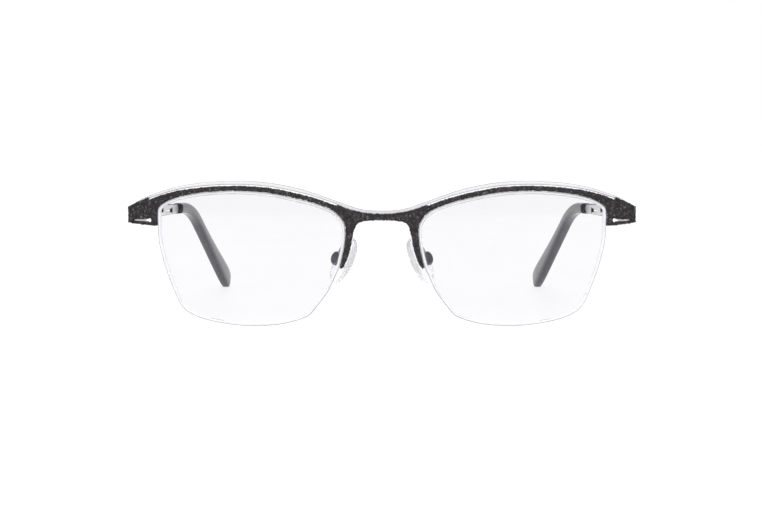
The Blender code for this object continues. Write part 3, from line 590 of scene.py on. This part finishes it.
def ramp(add, factor, *stops):
    """A colour ramp over a factor, with its stops as a place and a colour."""
    made = add("ShaderNodeValToRGB", {"Fac": factor})
    elements = made.color_ramp.elements
    while len(elements) < len(stops):
        elements.new(1.0)
    for element, (place, colour) in zip(elements, stops):
        element.position = place
        element.color = (*colour, 1)
    return made.outputs["Color"]


def scaled(add, factor, low, high):
    """The factor, from 0 to 1, made a value from low to high."""
    made = add("ShaderNodeMapRange", {"Value": factor, "To Min": low, "To Max": high})
    return made.outputs["Result"]


def noise_at(add, place, size_mm, detail=3.0, stretch=(1, 1, 1)):
    """Soft noise whose lumps are about so many millimetres across, drawn out along the axes."""
    mapped = add("ShaderNodeMapping", {"Vector": place, "Scale": tuple(1 / part for part in stretch)})
    lumps = {"Vector": mapped.outputs["Vector"], "Scale": 1 / (size_mm * MM), "Detail": detail}
    return add("ShaderNodeTexNoise", lumps).outputs["Fac"]


def bumped(add, height, depth_mm, strength=1.0):
    made = add("ShaderNodeBump", {"Height": height, "Distance": depth_mm * MM, "Strength": strength})
    return made.outputs["Normal"]


def pass_lamps(finish):
    """Lets lamps straight through a clear finish, so that it casts only a faint shadow."""
    tree = finish.node_tree
    add = node_maker(tree)
    out = next(node for node in tree.nodes if node.type == "OUTPUT_MATERIAL")
    solid = out.inputs["Surface"].links[0].from_socket
    clear = add("ShaderNodeBsdfTransparent", {"Color": (0.95, 0.95, 0.96, 1)})
    rays = add("ShaderNodeLightPath")
    choice = {0: rays.outputs["Is Shadow Ray"], 1: solid, 2: clear.outputs["BSDF"]}
    mixed = add("ShaderNodeMixShader", choice)
    tree.links.new(mixed.outputs["Shader"], out.inputs["Surface"])
    return finish


def black_coat():
    """Rough black lacquer with a fine pebble in it."""
    finish, add, shader, place = new_finish("pebbled black lacquer")
    cells = add("ShaderNodeTexVoronoi", {"Vector": place, "Scale": 1 / (0.33 * MM)})
    draw = add("ShaderNodeSeparateColor", {"Color": cells.outputs["Color"]}).outputs["Red"]
    tone = ramp(
        add, draw,
        (0.0, (0.008, 0.007, 0.008)), (0.75, (0.020, 0.017, 0.018)), (0.88, (0.050, 0.036, 0.050)),
        (0.95, (0.045, 0.045, 0.034)), (1.0, (0.12, 0.11, 0.115)),
    )
    pebbles = {0: cells.outputs["Distance"], 1: noise_at(add, place, 0.16)}
    height = add("ShaderNodeMath", pebbles, operation="ADD")
    feed(
        shader, Base_Color=tone, Roughness=scaled(add, noise_at(add, place, 0.5), 0.38, 0.66),
        Normal=bumped(add, height.outputs[0], 0.07, 0.8), Specular_IOR_Level=0.35,
    )
    return finish


def glitter():
    """The coat's grains: most as black as it is, a few violet, green or pale."""
    finish, add, shader, place = new_finish("glitter grain")
    draw = add("ShaderNodeAttribute", attribute_name="tint").outputs["Fac"]
    tone = ramp(
        add, draw,
        (0.0, (0.008, 0.007, 0.008)), (0.62, (0.024, 0.020, 0.022)), (0.80, (0.070, 0.050, 0.066)),
        (0.90, (0.062, 0.070, 0.050)), (0.97, (0.11, 0.105, 0.11)), (1.0, (0.16, 0.155, 0.15)),
    )
    feed(
        shader, Base_Color=tone, Roughness=scaled(add, noise_at(add, place, 0.2), 0.22, 0.5),
        Specular_IOR_Level=0.4, Normal=bumped(add, noise_at(add, place, 0.08), 0.02, 0.6),
    )
    return finish


def pearl_lacquer():
    """Smooth pearl white with a fine grey line painted along each edge, as painted shade for the darker
    reflection on the rounded edges.
    """
    finish, add, shader, place = new_finish("pearl white lacquer")
    edge = add("ShaderNodeAttribute", attribute_name="from_edge").outputs["Fac"]
    # The grey stops near the edge are painted shade, laid by distance from the edge.
    line = ramp(
        add, edge, (0.0, (0.30, 0.28, 0.34)), (0.10, (0.44, 0.42, 0.48)), (0.18, (0.88, 0.875, 0.90)),
        (0.27, (0.94, 0.94, 0.95)),
    )
    flake = scaled(add, noise_at(add, place, 0.05), 0.9, 1.06)
    tone = add("ShaderNodeVectorMath", {0: line, "Scale": flake}, operation="SCALE").outputs["Vector"]
    feed(
        shader, Base_Color=tone, Roughness=scaled(add, noise_at(add, place, 0.8), 0.2, 0.34),
        Coat_Weight=0.7, Coat_Roughness=0.06,
        Normal=bumped(add, noise_at(add, place, 0.3), 0.004, 0.5),
    )
    return finish


def brushed_metal(name, metallic, brushing, limits, depth_mm, cloud_mm, dark, pale):
    """Metal with a fine brushing along its length and a soft cloud between two tones."""
    finish, add, shader, place = new_finish(name)
    lines = noise_at(add, place, *brushing)
    tone = ramp(add, noise_at(add, place, cloud_mm), (0.3, dark), (0.7, pale))
    feed(
        shader, Base_Color=tone, Metallic=metallic, Roughness=scaled(add, lines, *limits),
        Normal=bumped(add, lines, depth_mm, 0.5),
    )
    return finish


def gunmetal():
    """Dark plating with a soft sheen, for the pad arms and cups."""
    finish, add, shader, place = new_finish("gunmetal plating")
    tone = ramp(add, noise_at(add, place, 0.7), (0.3, (0.13, 0.13, 0.15)), (0.7, (0.20, 0.20, 0.22)))
    feed(
        shader, Base_Color=tone, Metallic=0.9, Roughness=scaled(add, noise_at(add, place, 0.25), 0.26, 0.42),
        Normal=bumped(add, noise_at(add, place, 0.06), 0.004, 0.5),
    )
    return finish


def lens_clear():
    """Clear lens plastic under a thin coating that takes down its reflections."""
    finish, add, shader, place = new_finish("clear lens")
    coating = ramp(
        add, noise_at(add, place, 7.0), (0.3, (0.868, 0.862, 0.878)), (0.7, (0.878, 0.872, 0.889)),
    )
    feed(
        shader, Base_Color=coating, Transmission_Weight=1.0, IOR=1.5, Roughness=0.0,
        Thin_Film_Thickness=110.0, Thin_Film_IOR=1.38,
        Normal=bumped(add, noise_at(add, place, 9.0, 1.0), 0.002, 0.2),
    )
    return pass_lamps(finish)


def lens_edge():
    """The lens's ground and half polished edge, which looks white."""
    finish, add, shader, place = new_finish("ground lens edge")
    grind = noise_at(add, place, 0.05, 4.0, (6, 1, 6))
    feed(
        shader, Base_Color=(0.97, 0.97, 0.98, 1), Transmission_Weight=0.35, IOR=1.5,
        Roughness=scaled(add, grind, 0.25, 0.45), Normal=bumped(add, grind, 0.01, 0.4),
    )
    return pass_lamps(finish)


def clouded_plastic(name, colour, through, ior, rough, waves, drawn=(3.0, (1, 1, 1))):
    """A plastic that lets so much light through, faintly clouded and waved.

    rough is the size of its clouds and its least and most roughness, waves the size, depth and strength of
    its waves, and drawn the detail of the clouds and how far they are drawn out along each axis.
    """
    finish, add, shader, place = new_finish(name)
    size, *limits = rough
    wave_size, *relief = waves
    feed(
        shader, Base_Color=(*colour, 1), Transmission_Weight=through, IOR=ior,
        Roughness=scaled(add, noise_at(add, place, size, *drawn), *limits),
        Normal=bumped(add, noise_at(add, place, wave_size), *relief),
    )
    return pass_lamps(finish)


def slate_acetate():
    """Polished dark slate acetate, faintly marbled, with the shallow waves that hand polishing leaves."""
    finish, add, shader, place = new_finish("slate acetate")
    marble = noise_at(add, place, 3.0, 5.0, (1, 3, 1.5))
    tone = ramp(
        add, marble, (0.30, (0.016, 0.0165, 0.021)), (0.52, (0.024, 0.0245, 0.031)),
        (0.70, (0.038, 0.0385, 0.048)),
    )
    feed(
        shader, Base_Color=tone, Roughness=scaled(add, noise_at(add, place, 1.5), 0.10, 0.18), IOR=1.45,
        Specular_IOR_Level=0.25, Coat_Weight=0.12, Coat_Roughness=0.05, Coat_IOR=1.4,
        Normal=bumped(add, noise_at(add, place, 2.2, 1.0), 0.012, 0.5),
    )
    return finish


# ---- what repeats or follows a path


MOST_GRAINS = 4e7


def grain_tree(finish):
    """Scatters small faceted grains over a surface's coated faces."""
    tree = bpy.data.node_groups.new("coat grains", "GeometryNodeTree")
    tree_inputs(tree, [
        ("Spacing", "NodeSocketFloat", 0.0003),
        ("Size", "NodeSocketFloat", 0.0002),
        ("Seed", "NodeSocketInt", SEED),
    ])
    add = node_maker(tree)
    given = add("NodeGroupInput").outputs
    coated = add("GeometryNodeInputNamedAttribute", {"Name": "coated"}, data_type="BOOLEAN")
    spots = add(
        "GeometryNodeDistributePointsOnFaces",
        {
            "Mesh": given["Geometry"], "Selection": coated.outputs["Attribute"],
            "Distance Min": given["Spacing"], "Density Max": MOST_GRAINS, "Density Factor": 1.0,
            "Seed": given["Seed"],
        },
        distribute_method="POISSON",
    )
    grain = add("GeometryNodeMeshIcoSphere", {"Radius": given["Size"], "Subdivisions": 1})
    turn = add("FunctionNodeRandomValue", {2: 0.0, 3: 2 * math.pi, "Seed": given["Seed"]}, data_type="FLOAT")
    about = add("FunctionNodeAxisAngleToRotation", {"Axis": (0, 0, 1), "Angle": turn.outputs[1]})
    lie = add(
        "FunctionNodeRotateRotation",
        {"Rotation": spots.outputs["Rotation"], "Rotate By": about.outputs["Rotation"]},
        rotation_space="LOCAL",
    )
    shape = add(
        "FunctionNodeRandomValue", {0: (0.45, 0.45, 0.3), 1: (1.3, 1.3, 0.95), "Seed": given["Seed"]},
        data_type="FLOAT_VECTOR",
    )
    laid = add(
        "GeometryNodeInstanceOnPoints",
        {
            "Points": spots.outputs["Points"], "Instance": grain.outputs["Mesh"],
            "Rotation": lie.outputs["Rotation"], "Scale": shape.outputs[0],
        },
    )
    draw = add("FunctionNodeRandomValue", {2: 0.0, 3: 1.0, "Seed": given["Seed"]}, data_type="FLOAT")
    tinted = add(
        "GeometryNodeStoreNamedAttribute",
        {"Geometry": laid.outputs["Instances"], "Name": "tint", "Value": draw.outputs[1]},
        data_type="FLOAT", domain="INSTANCE",
    )
    real = add("GeometryNodeRealizeInstances", {"Geometry": tinted.outputs["Geometry"]})
    done = add("GeometryNodeSetMaterial", {"Geometry": real.outputs["Geometry"], "Material": finish})
    add("NodeGroupOutput", {"Geometry": done.outputs["Geometry"]})
    return tree


def strand_tree(finish):
    """Makes a round strand along a path, which can taper towards its far end."""
    tree = bpy.data.node_groups.new("strand", "GeometryNodeTree")
    tree_inputs(tree, [
        ("Radius", "NodeSocketFloat", 0.0003),
        ("Far Share", "NodeSocketFloat", 1.0),
        ("Sides", "NodeSocketInt", 16),
    ])
    add = node_maker(tree)
    given = add("NodeGroupInput").outputs
    line = add("GeometryNodeMeshToCurve", {"Mesh": given["Geometry"]})
    along = add("GeometryNodeSplineParameter").outputs["Factor"]
    share = add("ShaderNodeMapRange", {"Value": along, "To Min": 1.0, "To Max": given["Far Share"]})
    radii = {"Curve": line.outputs["Curve"], "Radius": share.outputs["Result"]}
    sized = add("GeometryNodeSetCurveRadius", radii)
    circle = {"Radius": given["Radius"], "Resolution": given["Sides"]}
    section = add("GeometryNodeCurvePrimitiveCircle", circle)
    strand = add(
        "GeometryNodeCurveToMesh",
        {"Curve": sized.outputs["Curve"], "Profile Curve": section.outputs["Curve"], "Fill Caps": True},
    )
    if "Scale" in strand.inputs:
        radius = add("GeometryNodeInputRadius")
        tree.links.new(radius.outputs["Radius"], strand.inputs["Scale"])
    soft = add("GeometryNodeSetShadeSmooth", {"Geometry": strand.outputs["Mesh"]})
    done = add("GeometryNodeSetMaterial", {"Geometry": soft.outputs["Geometry"], "Material": finish})
    add("NodeGroupOutput", {"Geometry": done.outputs["Geometry"]})
    return tree


def grains(name, surface, body, spacing=0.42, size=0.3):
    """A piece of grains over a coated surface, in millimetres."""
    return from_nodes(
        name, surface.data.copy(), grain_maker, glitter_finish, body,
        spacing=spacing * MM, size=size * MM, seed=SEED,
    )


def strand(name, path, radius, finish, body, side=1, far_share=1.0, sides=16):
    """A piece that runs along a path, in millimetres, with closed ends."""
    place = DRAWING_TO_FRAME @ Matrix.Scale(side, 4, (1, 0, 0))
    mesh = bpy.data.meshes.new(name)
    points = [place @ Vector(point) for point in path]
    mesh.from_pydata(points, [(i, i + 1) for i in range(len(path) - 1)], [])
    return from_nodes(
        name, mesh, strand_maker, finish, body, radius=radius * MM, far_share=far_share, sides=sides,
    )


# ---- the front

LENS = smooth(LENS_UPPER + LENS_LOWER, OUTLINE_STEPS, closed=True)
RIM_LAST = (len(LENS_UPPER) - 1) * OUTLINE_STEPS


def both_halves(half):
    """The whole outline from its +X half, which starts and ends on the middle plane."""
    return [*half, *mirrored(half[-2:0:-1])]


def make_front_plate():
    rim = inset(LENS, -RIM_GAP)[: RIM_LAST + 1]
    half = [
        *smooth(BRIDGE_TOP, OUTLINE_STEPS),
        *smooth(BROW_TOP, OUTLINE_STEPS),
        *[Vector(point) for point in END_PIECE],
        Vector((FRONT_END, RETURN_TOP)),
        Vector((FRONT_END, RETURN_BOTTOM)),
        *[Vector(point) for point in END_BOTTOM],
        *rim,
        *[Vector(point) for point in LEG_TIP],
        *smooth(LEG_NASAL, OUTLINE_STEPS),
    ]
    slot = keyhole(**END_SLOT)
    loops = [both_halves(half), slot, mirrored(slot)]
    points, faces, kinds, from_edge, flat = pressed_sheet(loops, -SHEET / 2, SHEET / 2, form_front)
    butt = FRONT_END - FRONT_BARE
    coated = [
        kind in (0, 2) and max(abs(flat[i][0]) for i in face) < butt for kind, face in zip(kinds, faces)
    ]
    plate = settle(
        "front_plate_formed", points, faces, [coat, inside, coat, coat], "front",
        kinds=kinds, values={"from_edge": from_edge}, face_values={"coated": coated},
    )
    stand_for("front_plate")
    specks = grains("front_plate_grains", plate, "front")


BAR_SPACING = 0.2


def make_brow_bar():
    half = [
        *smooth(BAR_TOP, OUTLINE_STEPS),
        *[Vector(point) for point in BAR_OUTER_FOOT],
        *smooth(BAR_OVER_SLOT, OUTLINE_STEPS),
        *smooth(BAR_BRIDGE_FOOT, OUTLINE_STEPS),
    ]
    low = SHEET / 2 + LAYER_GAP
    points, faces, _, from_edge, _ = pressed_sheet(
        [both_halves(half)], low, low + BAR_THICKNESS, form_front, BAR_SPACING
    )
    bar = settle("brow_bar_formed", points, faces, [pearl], "front", values={"from_edge": from_edge})
    stand_for("brow_bar")


def lens_ring(share, distance, depth):
    """One ring of a lens: its outline moved in by a distance, then drawn in to a share of its size."""
    centre = Vector((LENS_CENTRE_X, LENS_CENTRE_Z))
    ring = [centre + share * (point - centre) for point in inset(LENS, distance)]
    return [form_front(point.x, point.y, depth) for point in ring]


BEVEL_WIDTH = 0.28
LAND = 0.6
LENS_FACE_SHARES = [0.12, 0.24, 0.36, 0.48, 0.60, 0.70, 0.79, 0.87, 0.94, 1.0]


def make_lens(name, side):
    half = LENS_THICKNESS / 2
    rings = [lens_ring(share, BEVEL_WIDTH, -half) for share in LENS_FACE_SHARES]
    rings += [lens_ring(1, distance, depth) for distance, depth in (
        (0, BEVEL_WIDTH - half), (0, -LAND), (0, -GROOVE_HALF), (GROOVE_DEPTH * 0.75, -GROOVE_HALF),
        (GROOVE_DEPTH, -GROOVE_HALF * 0.5), (GROOVE_DEPTH, GROOVE_HALF * 0.5),
        (GROOVE_DEPTH * 0.75, GROOVE_HALF), (0, GROOVE_HALF), (0, LAND), (0, half - EDGE_CHAMFER),
    )]
    rings += [lens_ring(share, EDGE_CHAMFER, half) for share in reversed(LENS_FACE_SHARES)]
    points, faces = loft(rings)
    size = len(LENS)
    edge_from = (len(LENS_FACE_SHARES) - 1) * size
    edge_to = (len(rings) - len(LENS_FACE_SHARES)) * size
    kinds = [int(edge_from <= i < edge_to) for i in range(len(faces))]
    # The front bevel ring takes the bevel finish, whose grey is painted shade for the bevel's dark line.
    kinds[edge_from : edge_from + size] = [2] * size
    finishes = [clear, ground_edge, bevel]
    lens = settle(f"lens_{name}_polished", points, faces, finishes, "front", side, kinds)
    stand_for(f"lens_{name}")


def edge_path(first, last, distance):
    """A path in the lens's groove, from one point of its outline to another, a distance in from its edge."""
    ring = inset(LENS, distance)
    return [form_front(*ring[i % len(ring)], 0) for i in range(first, last + 1)]


def make_cords(name, side):
    tuck = OUTLINE_STEPS // 2
    free = edge_path(RIM_LAST - tuck, len(LENS) + tuck, CORD_INSET)
    packed = edge_path(3 * tuck, RIM_LAST - 3 * tuck, LINER_INSET)
    for label, path, radius in (("lens_cord", free, CORD_RADIUS), ("rim_liner", packed, LINER_RADIUS)):
        cord = strand(f"{label}_{name}_drawn", path, radius, nylon, "front", side)
        stand_for(f"{label}_{name}")


# ---- the nose pads

PAD_SIDEWAYS = PAD_FACING.cross(PAD_LONG_AXIS).normalized()
PAD_NORMAL = PAD_LONG_AXIS.cross(PAD_SIDEWAYS)
PAD_AXES = Matrix((PAD_LONG_AXIS, PAD_SIDEWAYS, PAD_NORMAL)).transposed().to_4x4()
PAD_FRAME = Matrix.Translation(PAD_CENTRE) @ PAD_AXES
PAD_BACK = -PAD_THICKNESS / 2
CUP_MOUTH = PAD_BACK - CUP_TO_PAD
PAD_PROFILE = [
    (0.80, -1.40), (0.93, -1.24), (0.985, -0.95), (1.00, -0.45), (0.97, 0.25), (0.86, 0.85), (0.62, 1.20),
    (0.30, 1.37), (0.08, 1.40),
]
PAD_TOP_NARROWING = 0.16


def make_nose_pad(name, side):
    """A soft teardrop with a domed face, and a pocket in its back for the insert."""
    half = PAD_LENGTH / 2
    sides = 72
    outline = []
    for point in rounded(half, PAD_WIDTH / 2, PAD_ROUNDNESS, sides):
        narrowing = 1 - PAD_TOP_NARROWING * (1 - point.x / half) / 2
        outline.append(Vector((point.x, point.y * narrowing)))
    pocket = rounded(INSERT_HALF[0] + POCKET_GAP, INSERT_HALF[1] + POCKET_GAP, PAD_ROUNDNESS, sides)
    floor = PAD_BACK + INSERT_THICKNESS + POCKET_GAP
    rings = [[Vector((*(share * point), height)) for point in pocket] for share, height in (
        (0.5, floor), (0.92, floor), (1.0, floor - 0.08), (1.0, PAD_BACK + 0.05), (1.04, PAD_BACK)
    )]
    for share, height in smooth(PAD_PROFILE, 4):
        rings.append([Vector((*(share * point), height)) for point in outline])
    points, faces = loft(rings)
    points = [PAD_FRAME @ Vector(point) for point in points]
    pad = settle(f"nose_pad_{name}_moulded", points, faces, [silicone], f"pad_{name}", side)
    stand_for(f"nose_pad_{name}")


CUP_OUTLINE = [
    (0.35, 0.42), (1.25, 0.42), (1.4, 0.56), (1.4, 1.74), (1.46, 1.8), (1.88, 1.8), (1.95, 1.73),
    (1.95, 0.52), (1.88, 0.28), (1.72, 0.1), (1.5, 0.02), (1.0, -0.02), (0.35, -0.04),
]


def make_pad_cup(name, side):
    """The turned cup that holds the pad, its domed back to the front."""
    rings = []
    for radius, height in CUP_OUTLINE:
        rings.append([Vector((*point, height)) for point in arc((0, 0), radius, 0, 2 * math.pi, 56)[:-1]])
    points, faces = loft(rings)
    base = PAD_FRAME @ Matrix.Translation((0, 0, CUP_MOUTH - CUP_HEIGHT))
    points = [base @ Vector(point) for point in points]
    cup = settle(f"pad_cup_{name}_turned", points, faces, [plating], "front", side)
    stand_for(f"pad_cup_{name}")


def make_pad_arm(name, side):
    """The wire from the back of the nasal leg to the side of the cup, thicker where it is brazed on."""
    cup_middle = PAD_FRAME @ Vector((0, 0, CUP_MOUTH - CUP_HEIGHT / 2))
    ends = [cup_middle - distance * PAD_LONG_AXIS for distance in ARM_TO_CUP]
    path = smooth([*ARM_PATH, *ends], 10)
    arm = strand(f"pad_arm_{name}_bent", path, ARM_RADIUS, plating, "front", side, ARM_TAPER, ARM_SIDES)
    stand_for(f"pad_arm_{name}")


# ---- small metal parts, with their edges broken


def edges_broken(node, finish, body, width=0.05):
    """The CAD part with its flat faces made whole again and a small round on every sharp edge."""
    mesh = frame["nodes"][node].data.copy()
    shape = bmesh.new()
    shape.from_mesh(mesh)
    bmesh.ops.remove_doubles(shape, verts=shape.verts, dist=0.0005 * MM)
    bmesh.ops.dissolve_limit(shape, angle_limit=math.radians(1), verts=shape.verts, edges=shape.edges)
    sharp = [edge for edge in shape.edges if edge.is_manifold and edge.calc_face_angle(0) > math.radians(35)]
    bmesh.ops.bevel(
        shape, geom=sharp, offset=width * MM, offset_type="OFFSET", segments=2, profile=0.5, affect="EDGES",
        clamp_overlap=True,
    )
    shape.to_mesh(mesh)
    shape.free()
    mesh.materials.clear()
    mesh.materials.append(finish)
    mesh.shade_smooth()
    mesh.set_sharp_from_angle(angle=SHARP_ANGLE)
    piece = linked(f"{node}_finished", mesh)
    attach(piece, body)
    stand_for(node)


# ---- the temples

TEMPLE_STATIONS = [BUTT_GAP / 2, *[2.0 * i for i in range(1, 28)], TIP_START - BUTT_GAP]
CORE_STATIONS = [TIP_START - BUTT_GAP, *[58.0 + 2 * i for i in range(29)], CORE_END]


def make_temple(name, side):
    """The flat temple with its keyhole slots, and the narrow core that runs on inside the tip."""
    heights = [(s, between(TEMPLE_HEIGHTS, s)[0]) for s in TEMPLE_STATIONS]
    heights += [(s, CORE_HALF_HEIGHT) for s in CORE_STATIONS]
    upper = [beside_line(s, half) for s, half in heights]
    lower = [beside_line(s, -half) for s, half in reversed(heights)]
    loops = [[*lower, *upper], *[keyhole(**slot) for slot in TEMPLE_SLOTS]]
    points, faces, kinds, from_edge, flat = pressed_sheet(loops, -SHEET / 2, SHEET / 2, form_temple)
    blade = (TEMPLE_BARE, TIP_START - BUTT_GAP)
    coated = [
        kind == 0 and all(blade[0] < flat[i][0] < blade[1] for i in face) for kind, face in zip(kinds, faces)
    ]
    temple = settle(
        f"temple_{name}_formed", points, faces, [coat, inside, coat, coat], f"temple_{name}", side,
        kinds, {"from_edge": from_edge}, {"coated": coated},
    )
    stand_for(f"temple_{name}")
    specks = grains(f"temple_{name}_grains", temple, f"temple_{name}")


TIP_SIDES = 48
TIP_STATION = 1.0
TIP_TABLE = smooth(TIP_SECTIONS[1:], 6)
TIP_MOUTH = [(56.5, 1.45, 1.5), (56.58, 1.57, 1.62), (56.8, 1.64, 1.69)]
TIP_NOSE = [(139.64, 1.55, 0.58), (139.72, 1.0, 0.32)]


def tip_ring(s, half_height, half_thickness, roundness, across):
    """A closed loop round the temple's line at s, resting on the table where it reaches it."""
    ring = []
    for point in rounded(half_thickness, half_height, roundness, TIP_SIDES):
        along, z = beside_line(s, point.y)
        place = form_temple(along, z, across + point.x)
        place.z = max(0.0, place.z)
        ring.append(place)
    return ring


def make_temple_tip(name, side):
    """The moulded tip, swept along the temple's line, with a pocket for the core."""
    first, last = TIP_SECTIONS[1][0], TIP_SECTIONS[-1][0]
    count = round((last - first) / TIP_STATION)
    stations = [first + (last - first) * i / count for i in range(count + 1)]
    outer = [tip_ring(*section, TIP_ROUNDNESS, TIP_ACROSS) for section in TIP_MOUTH]
    outer += [tip_ring(s, *between(TIP_TABLE, s), TIP_ROUNDNESS, TIP_ACROSS) for s in stations]
    outer += [tip_ring(*section, TIP_ROUNDNESS, TIP_ACROSS) for section in TIP_NOSE]
    pocket = (CORE_HALF_HEIGHT + CORE_CLEARANCE, SHEET / 2 + CORE_CLEARANCE)
    depths = [CORE_POCKET_END - 2.0 * i for i in range(30)] + [TIP_START]
    inner = [tip_ring(s, *pocket, POCKET_ROUNDNESS, 0) for s in depths]
    points, faces = loft([*inner, *outer])
    tip = settle(f"temple_tip_{name}_polished", points, faces, [acetate], f"temple_{name}", side)
    stand_for(f"temple_tip_{name}")


# ---- the studio


SWEEP_FLOOR = 2.2
SWEEP_CURVE = 0.7
SWEEP_HEIGHT = 1.6
SWEEP_SINK = 0.02 * MM
SWEEP_GLOW = (0.15, 0.94)
SURROUND = 0.30
LAMPS = [
    ("overhead softbox", (0.0, 0.1, 1.0), 0.7, 4.0),
    ("left softbox", (-0.55, -0.85, 0.5), 0.6, 4.4),
    ("right softbox", (0.55, -0.85, 0.5), 0.6, 4.4),
]
LAMPS_AIM = Vector((0, 0, 0.02))


def white_sweep():
    """White acrylic lit from behind, brightest behind the glasses and duller at the sides and in front."""
    finish, add, shader, place = new_finish("lit white acrylic")
    parts = add("ShaderNodeSeparateXYZ", {"Vector": place})
    back = add(
        "ShaderNodeMapRange", {"Value": parts.outputs["Y"], "From Min": -0.9, "From Max": -0.4},
        interpolation_type="SMOOTHSTEP",
    )
    aside = add("ShaderNodeMath", {0: parts.outputs["X"]}, operation="ABSOLUTE")
    middle_share = add(
        "ShaderNodeMapRange", {"Value": aside.outputs[0], "From Min": 1.5, "From Max": 0.9},
        interpolation_type="SMOOTHSTEP",
    )
    shares = {0: back.outputs["Result"], 1: middle_share.outputs["Result"]}
    lit = add("ShaderNodeMath", shares, operation="MULTIPLY")
    tone = ramp(add, noise_at(add, place, 90.0), (0.3, (0.10, 0.10, 0.10)), (0.7, (0.12, 0.12, 0.12)))
    feed(
        shader, Base_Color=tone, Roughness=0.6, Specular_IOR_Level=0.2, Emission_Color=(1, 1, 1, 1),
        Emission_Strength=scaled(add, lit.outputs[0], *SWEEP_GLOW),
    )
    return finish


def make_studio():
    """A round white table whose rim curves up into a wall, under a grey surround and three soft lamps."""
    scene = bpy.context.scene
    curve = [
        (SWEEP_FLOOR + SWEEP_CURVE * math.sin(turn), SWEEP_CURVE * (1 - math.cos(turn)))
        for turn in [math.radians(9 * i) for i in range(11)]
    ]
    profile = [(0.3, 0.0), (1.0, 0.0), *curve, (SWEEP_FLOOR + SWEEP_CURVE, SWEEP_HEIGHT)]
    count = 128
    turns = [2 * math.pi * i / count for i in range(count)]
    rim = [Vector((math.cos(turn), math.sin(turn))) for turn in turns]
    points = [(*(radius * point), height - SWEEP_SINK) for radius, height in profile for point in rim]
    faces = [list(range(count))]
    for i in range(len(profile) - 1):
        for j in range(count):
            k = (j + 1) % count
            faces.append([i * count + j, (i + 1) * count + j, (i + 1) * count + k, i * count + k])
    mesh = bpy.data.meshes.new("sweep")
    mesh.from_pydata(points, [], faces)
    mesh.materials.append(white_sweep())
    mesh.shade_smooth()
    linked("sweep", mesh)

    scene.world = bpy.data.worlds.new("grey surround")
    scene.world.use_nodes = True
    surround = scene.world.node_tree.nodes["Background"].inputs
    surround["Color"].default_value = (1, 1, 1, 1)
    surround["Strength"].default_value = SURROUND

    for name, place, size, power in LAMPS:
        light = bpy.data.lights.new(name, "AREA")
        light.size = size
        light.energy = power
        lamp = linked(name, light)
        lamp.location = place
        lamp.rotation_mode = "QUATERNION"
        lamp.rotation_quaternion = (LAMPS_AIM - Vector(place)).to_track_quat("-Z", "Y")
    scene.view_settings.view_transform = "Standard"


CAMERA_ASIDE = -0.00027
CAMERA_BACK = 0.430
CAMERA_HEIGHT = 0.0443
CAMERA_TILT = math.radians(90 - 3.25)
FOCAL_LENGTH = 74.98


def make_camera():
    """A long lens at eye level with the glasses, looking very slightly down."""
    data = bpy.data.cameras.new("camera")
    data.lens = FOCAL_LENGTH
    data.sensor_width = 36
    data.clip_start = 0.01
    camera = linked("camera", data)
    camera.location = (CAMERA_ASIDE, fold_axis[1] - PIN.y * MM - CAMERA_BACK, CAMERA_HEIGHT)
    camera.rotation_euler = (CAMERA_TILT, 0, 0)
    bpy.context.scene.camera = camera


# ---- the whole

coat = black_coat()
glitter_finish = glitter()
pearl = pearl_lacquer()
inside = brushed_metal(
    "satin silver", 0.4, (0.06, 4.0, (1, 40, 1)), (0.24, 0.42), 0.006, 3.0,
    (0.82, 0.82, 0.84), (0.90, 0.90, 0.92),
)
steel = brushed_metal(
    "satin steel", 1.0, (0.05, 4.0, (8, 8, 1)), (0.2, 0.38), 0.005, 1.2,
    (0.52, 0.52, 0.54), (0.66, 0.66, 0.68),
)
plating = gunmetal()
clear = lens_clear()
ground_edge = lens_edge()
# The bevel's grey is painted shade: it draws the dark line that light bending at the lens's clear front
# bevel makes.
bevel = clouded_plastic(
    "polished lens bevel", (0.46, 0.46, 0.49), 0.15, 1.5, (0.3, 0.15, 0.35), (0.2, 0.004, 0.4),
)
nylon = clouded_plastic(
    "clear nylon", (0.93, 0.94, 0.95), 0.85, 1.53, (0.4, 0.08, 0.22), (0.3, 0.004, 0.4), (2.0, (1, 6, 1)),
)
silicone = clouded_plastic(
    "clear silicone", (0.985, 0.985, 0.99), 0.72, 1.41, (1.2, 0.16, 0.3), (0.5, 0.01, 0.5),
)
plastic = clouded_plastic(
    "clear insert plastic", (0.95, 0.96, 0.97), 0.9, 1.5, (0.4, 0.05, 0.16), (0.2, 0.004, 0.4),
)
acetate = slate_acetate()
grain_maker = grain_tree(glitter_finish)
strand_maker = strand_tree(nylon)

make_studio()
make_camera()
make_front_plate()
make_brow_bar()
for name, side in SIDES.items():
    make_lens(name, side)
    make_cords(name, side)
    make_nose_pad(name, side)
    make_pad_cup(name, side)
    make_pad_arm(name, side)
    edges_broken(f"pad_screw_{name}", steel, "front", 0.03)
    edges_broken(f"pad_insert_{name}", plastic, f"pad_{name}", 0.03)
    edges_broken(f"hinge_front_{name}", steel, "front")
    edges_broken(f"hinge_screw_{name}", steel, "front", 0.04)
    edges_broken(f"hinge_temple_{name}", steel, f"temple_{name}")
    make_temple(name, side)
    make_temple_tip(name, side)
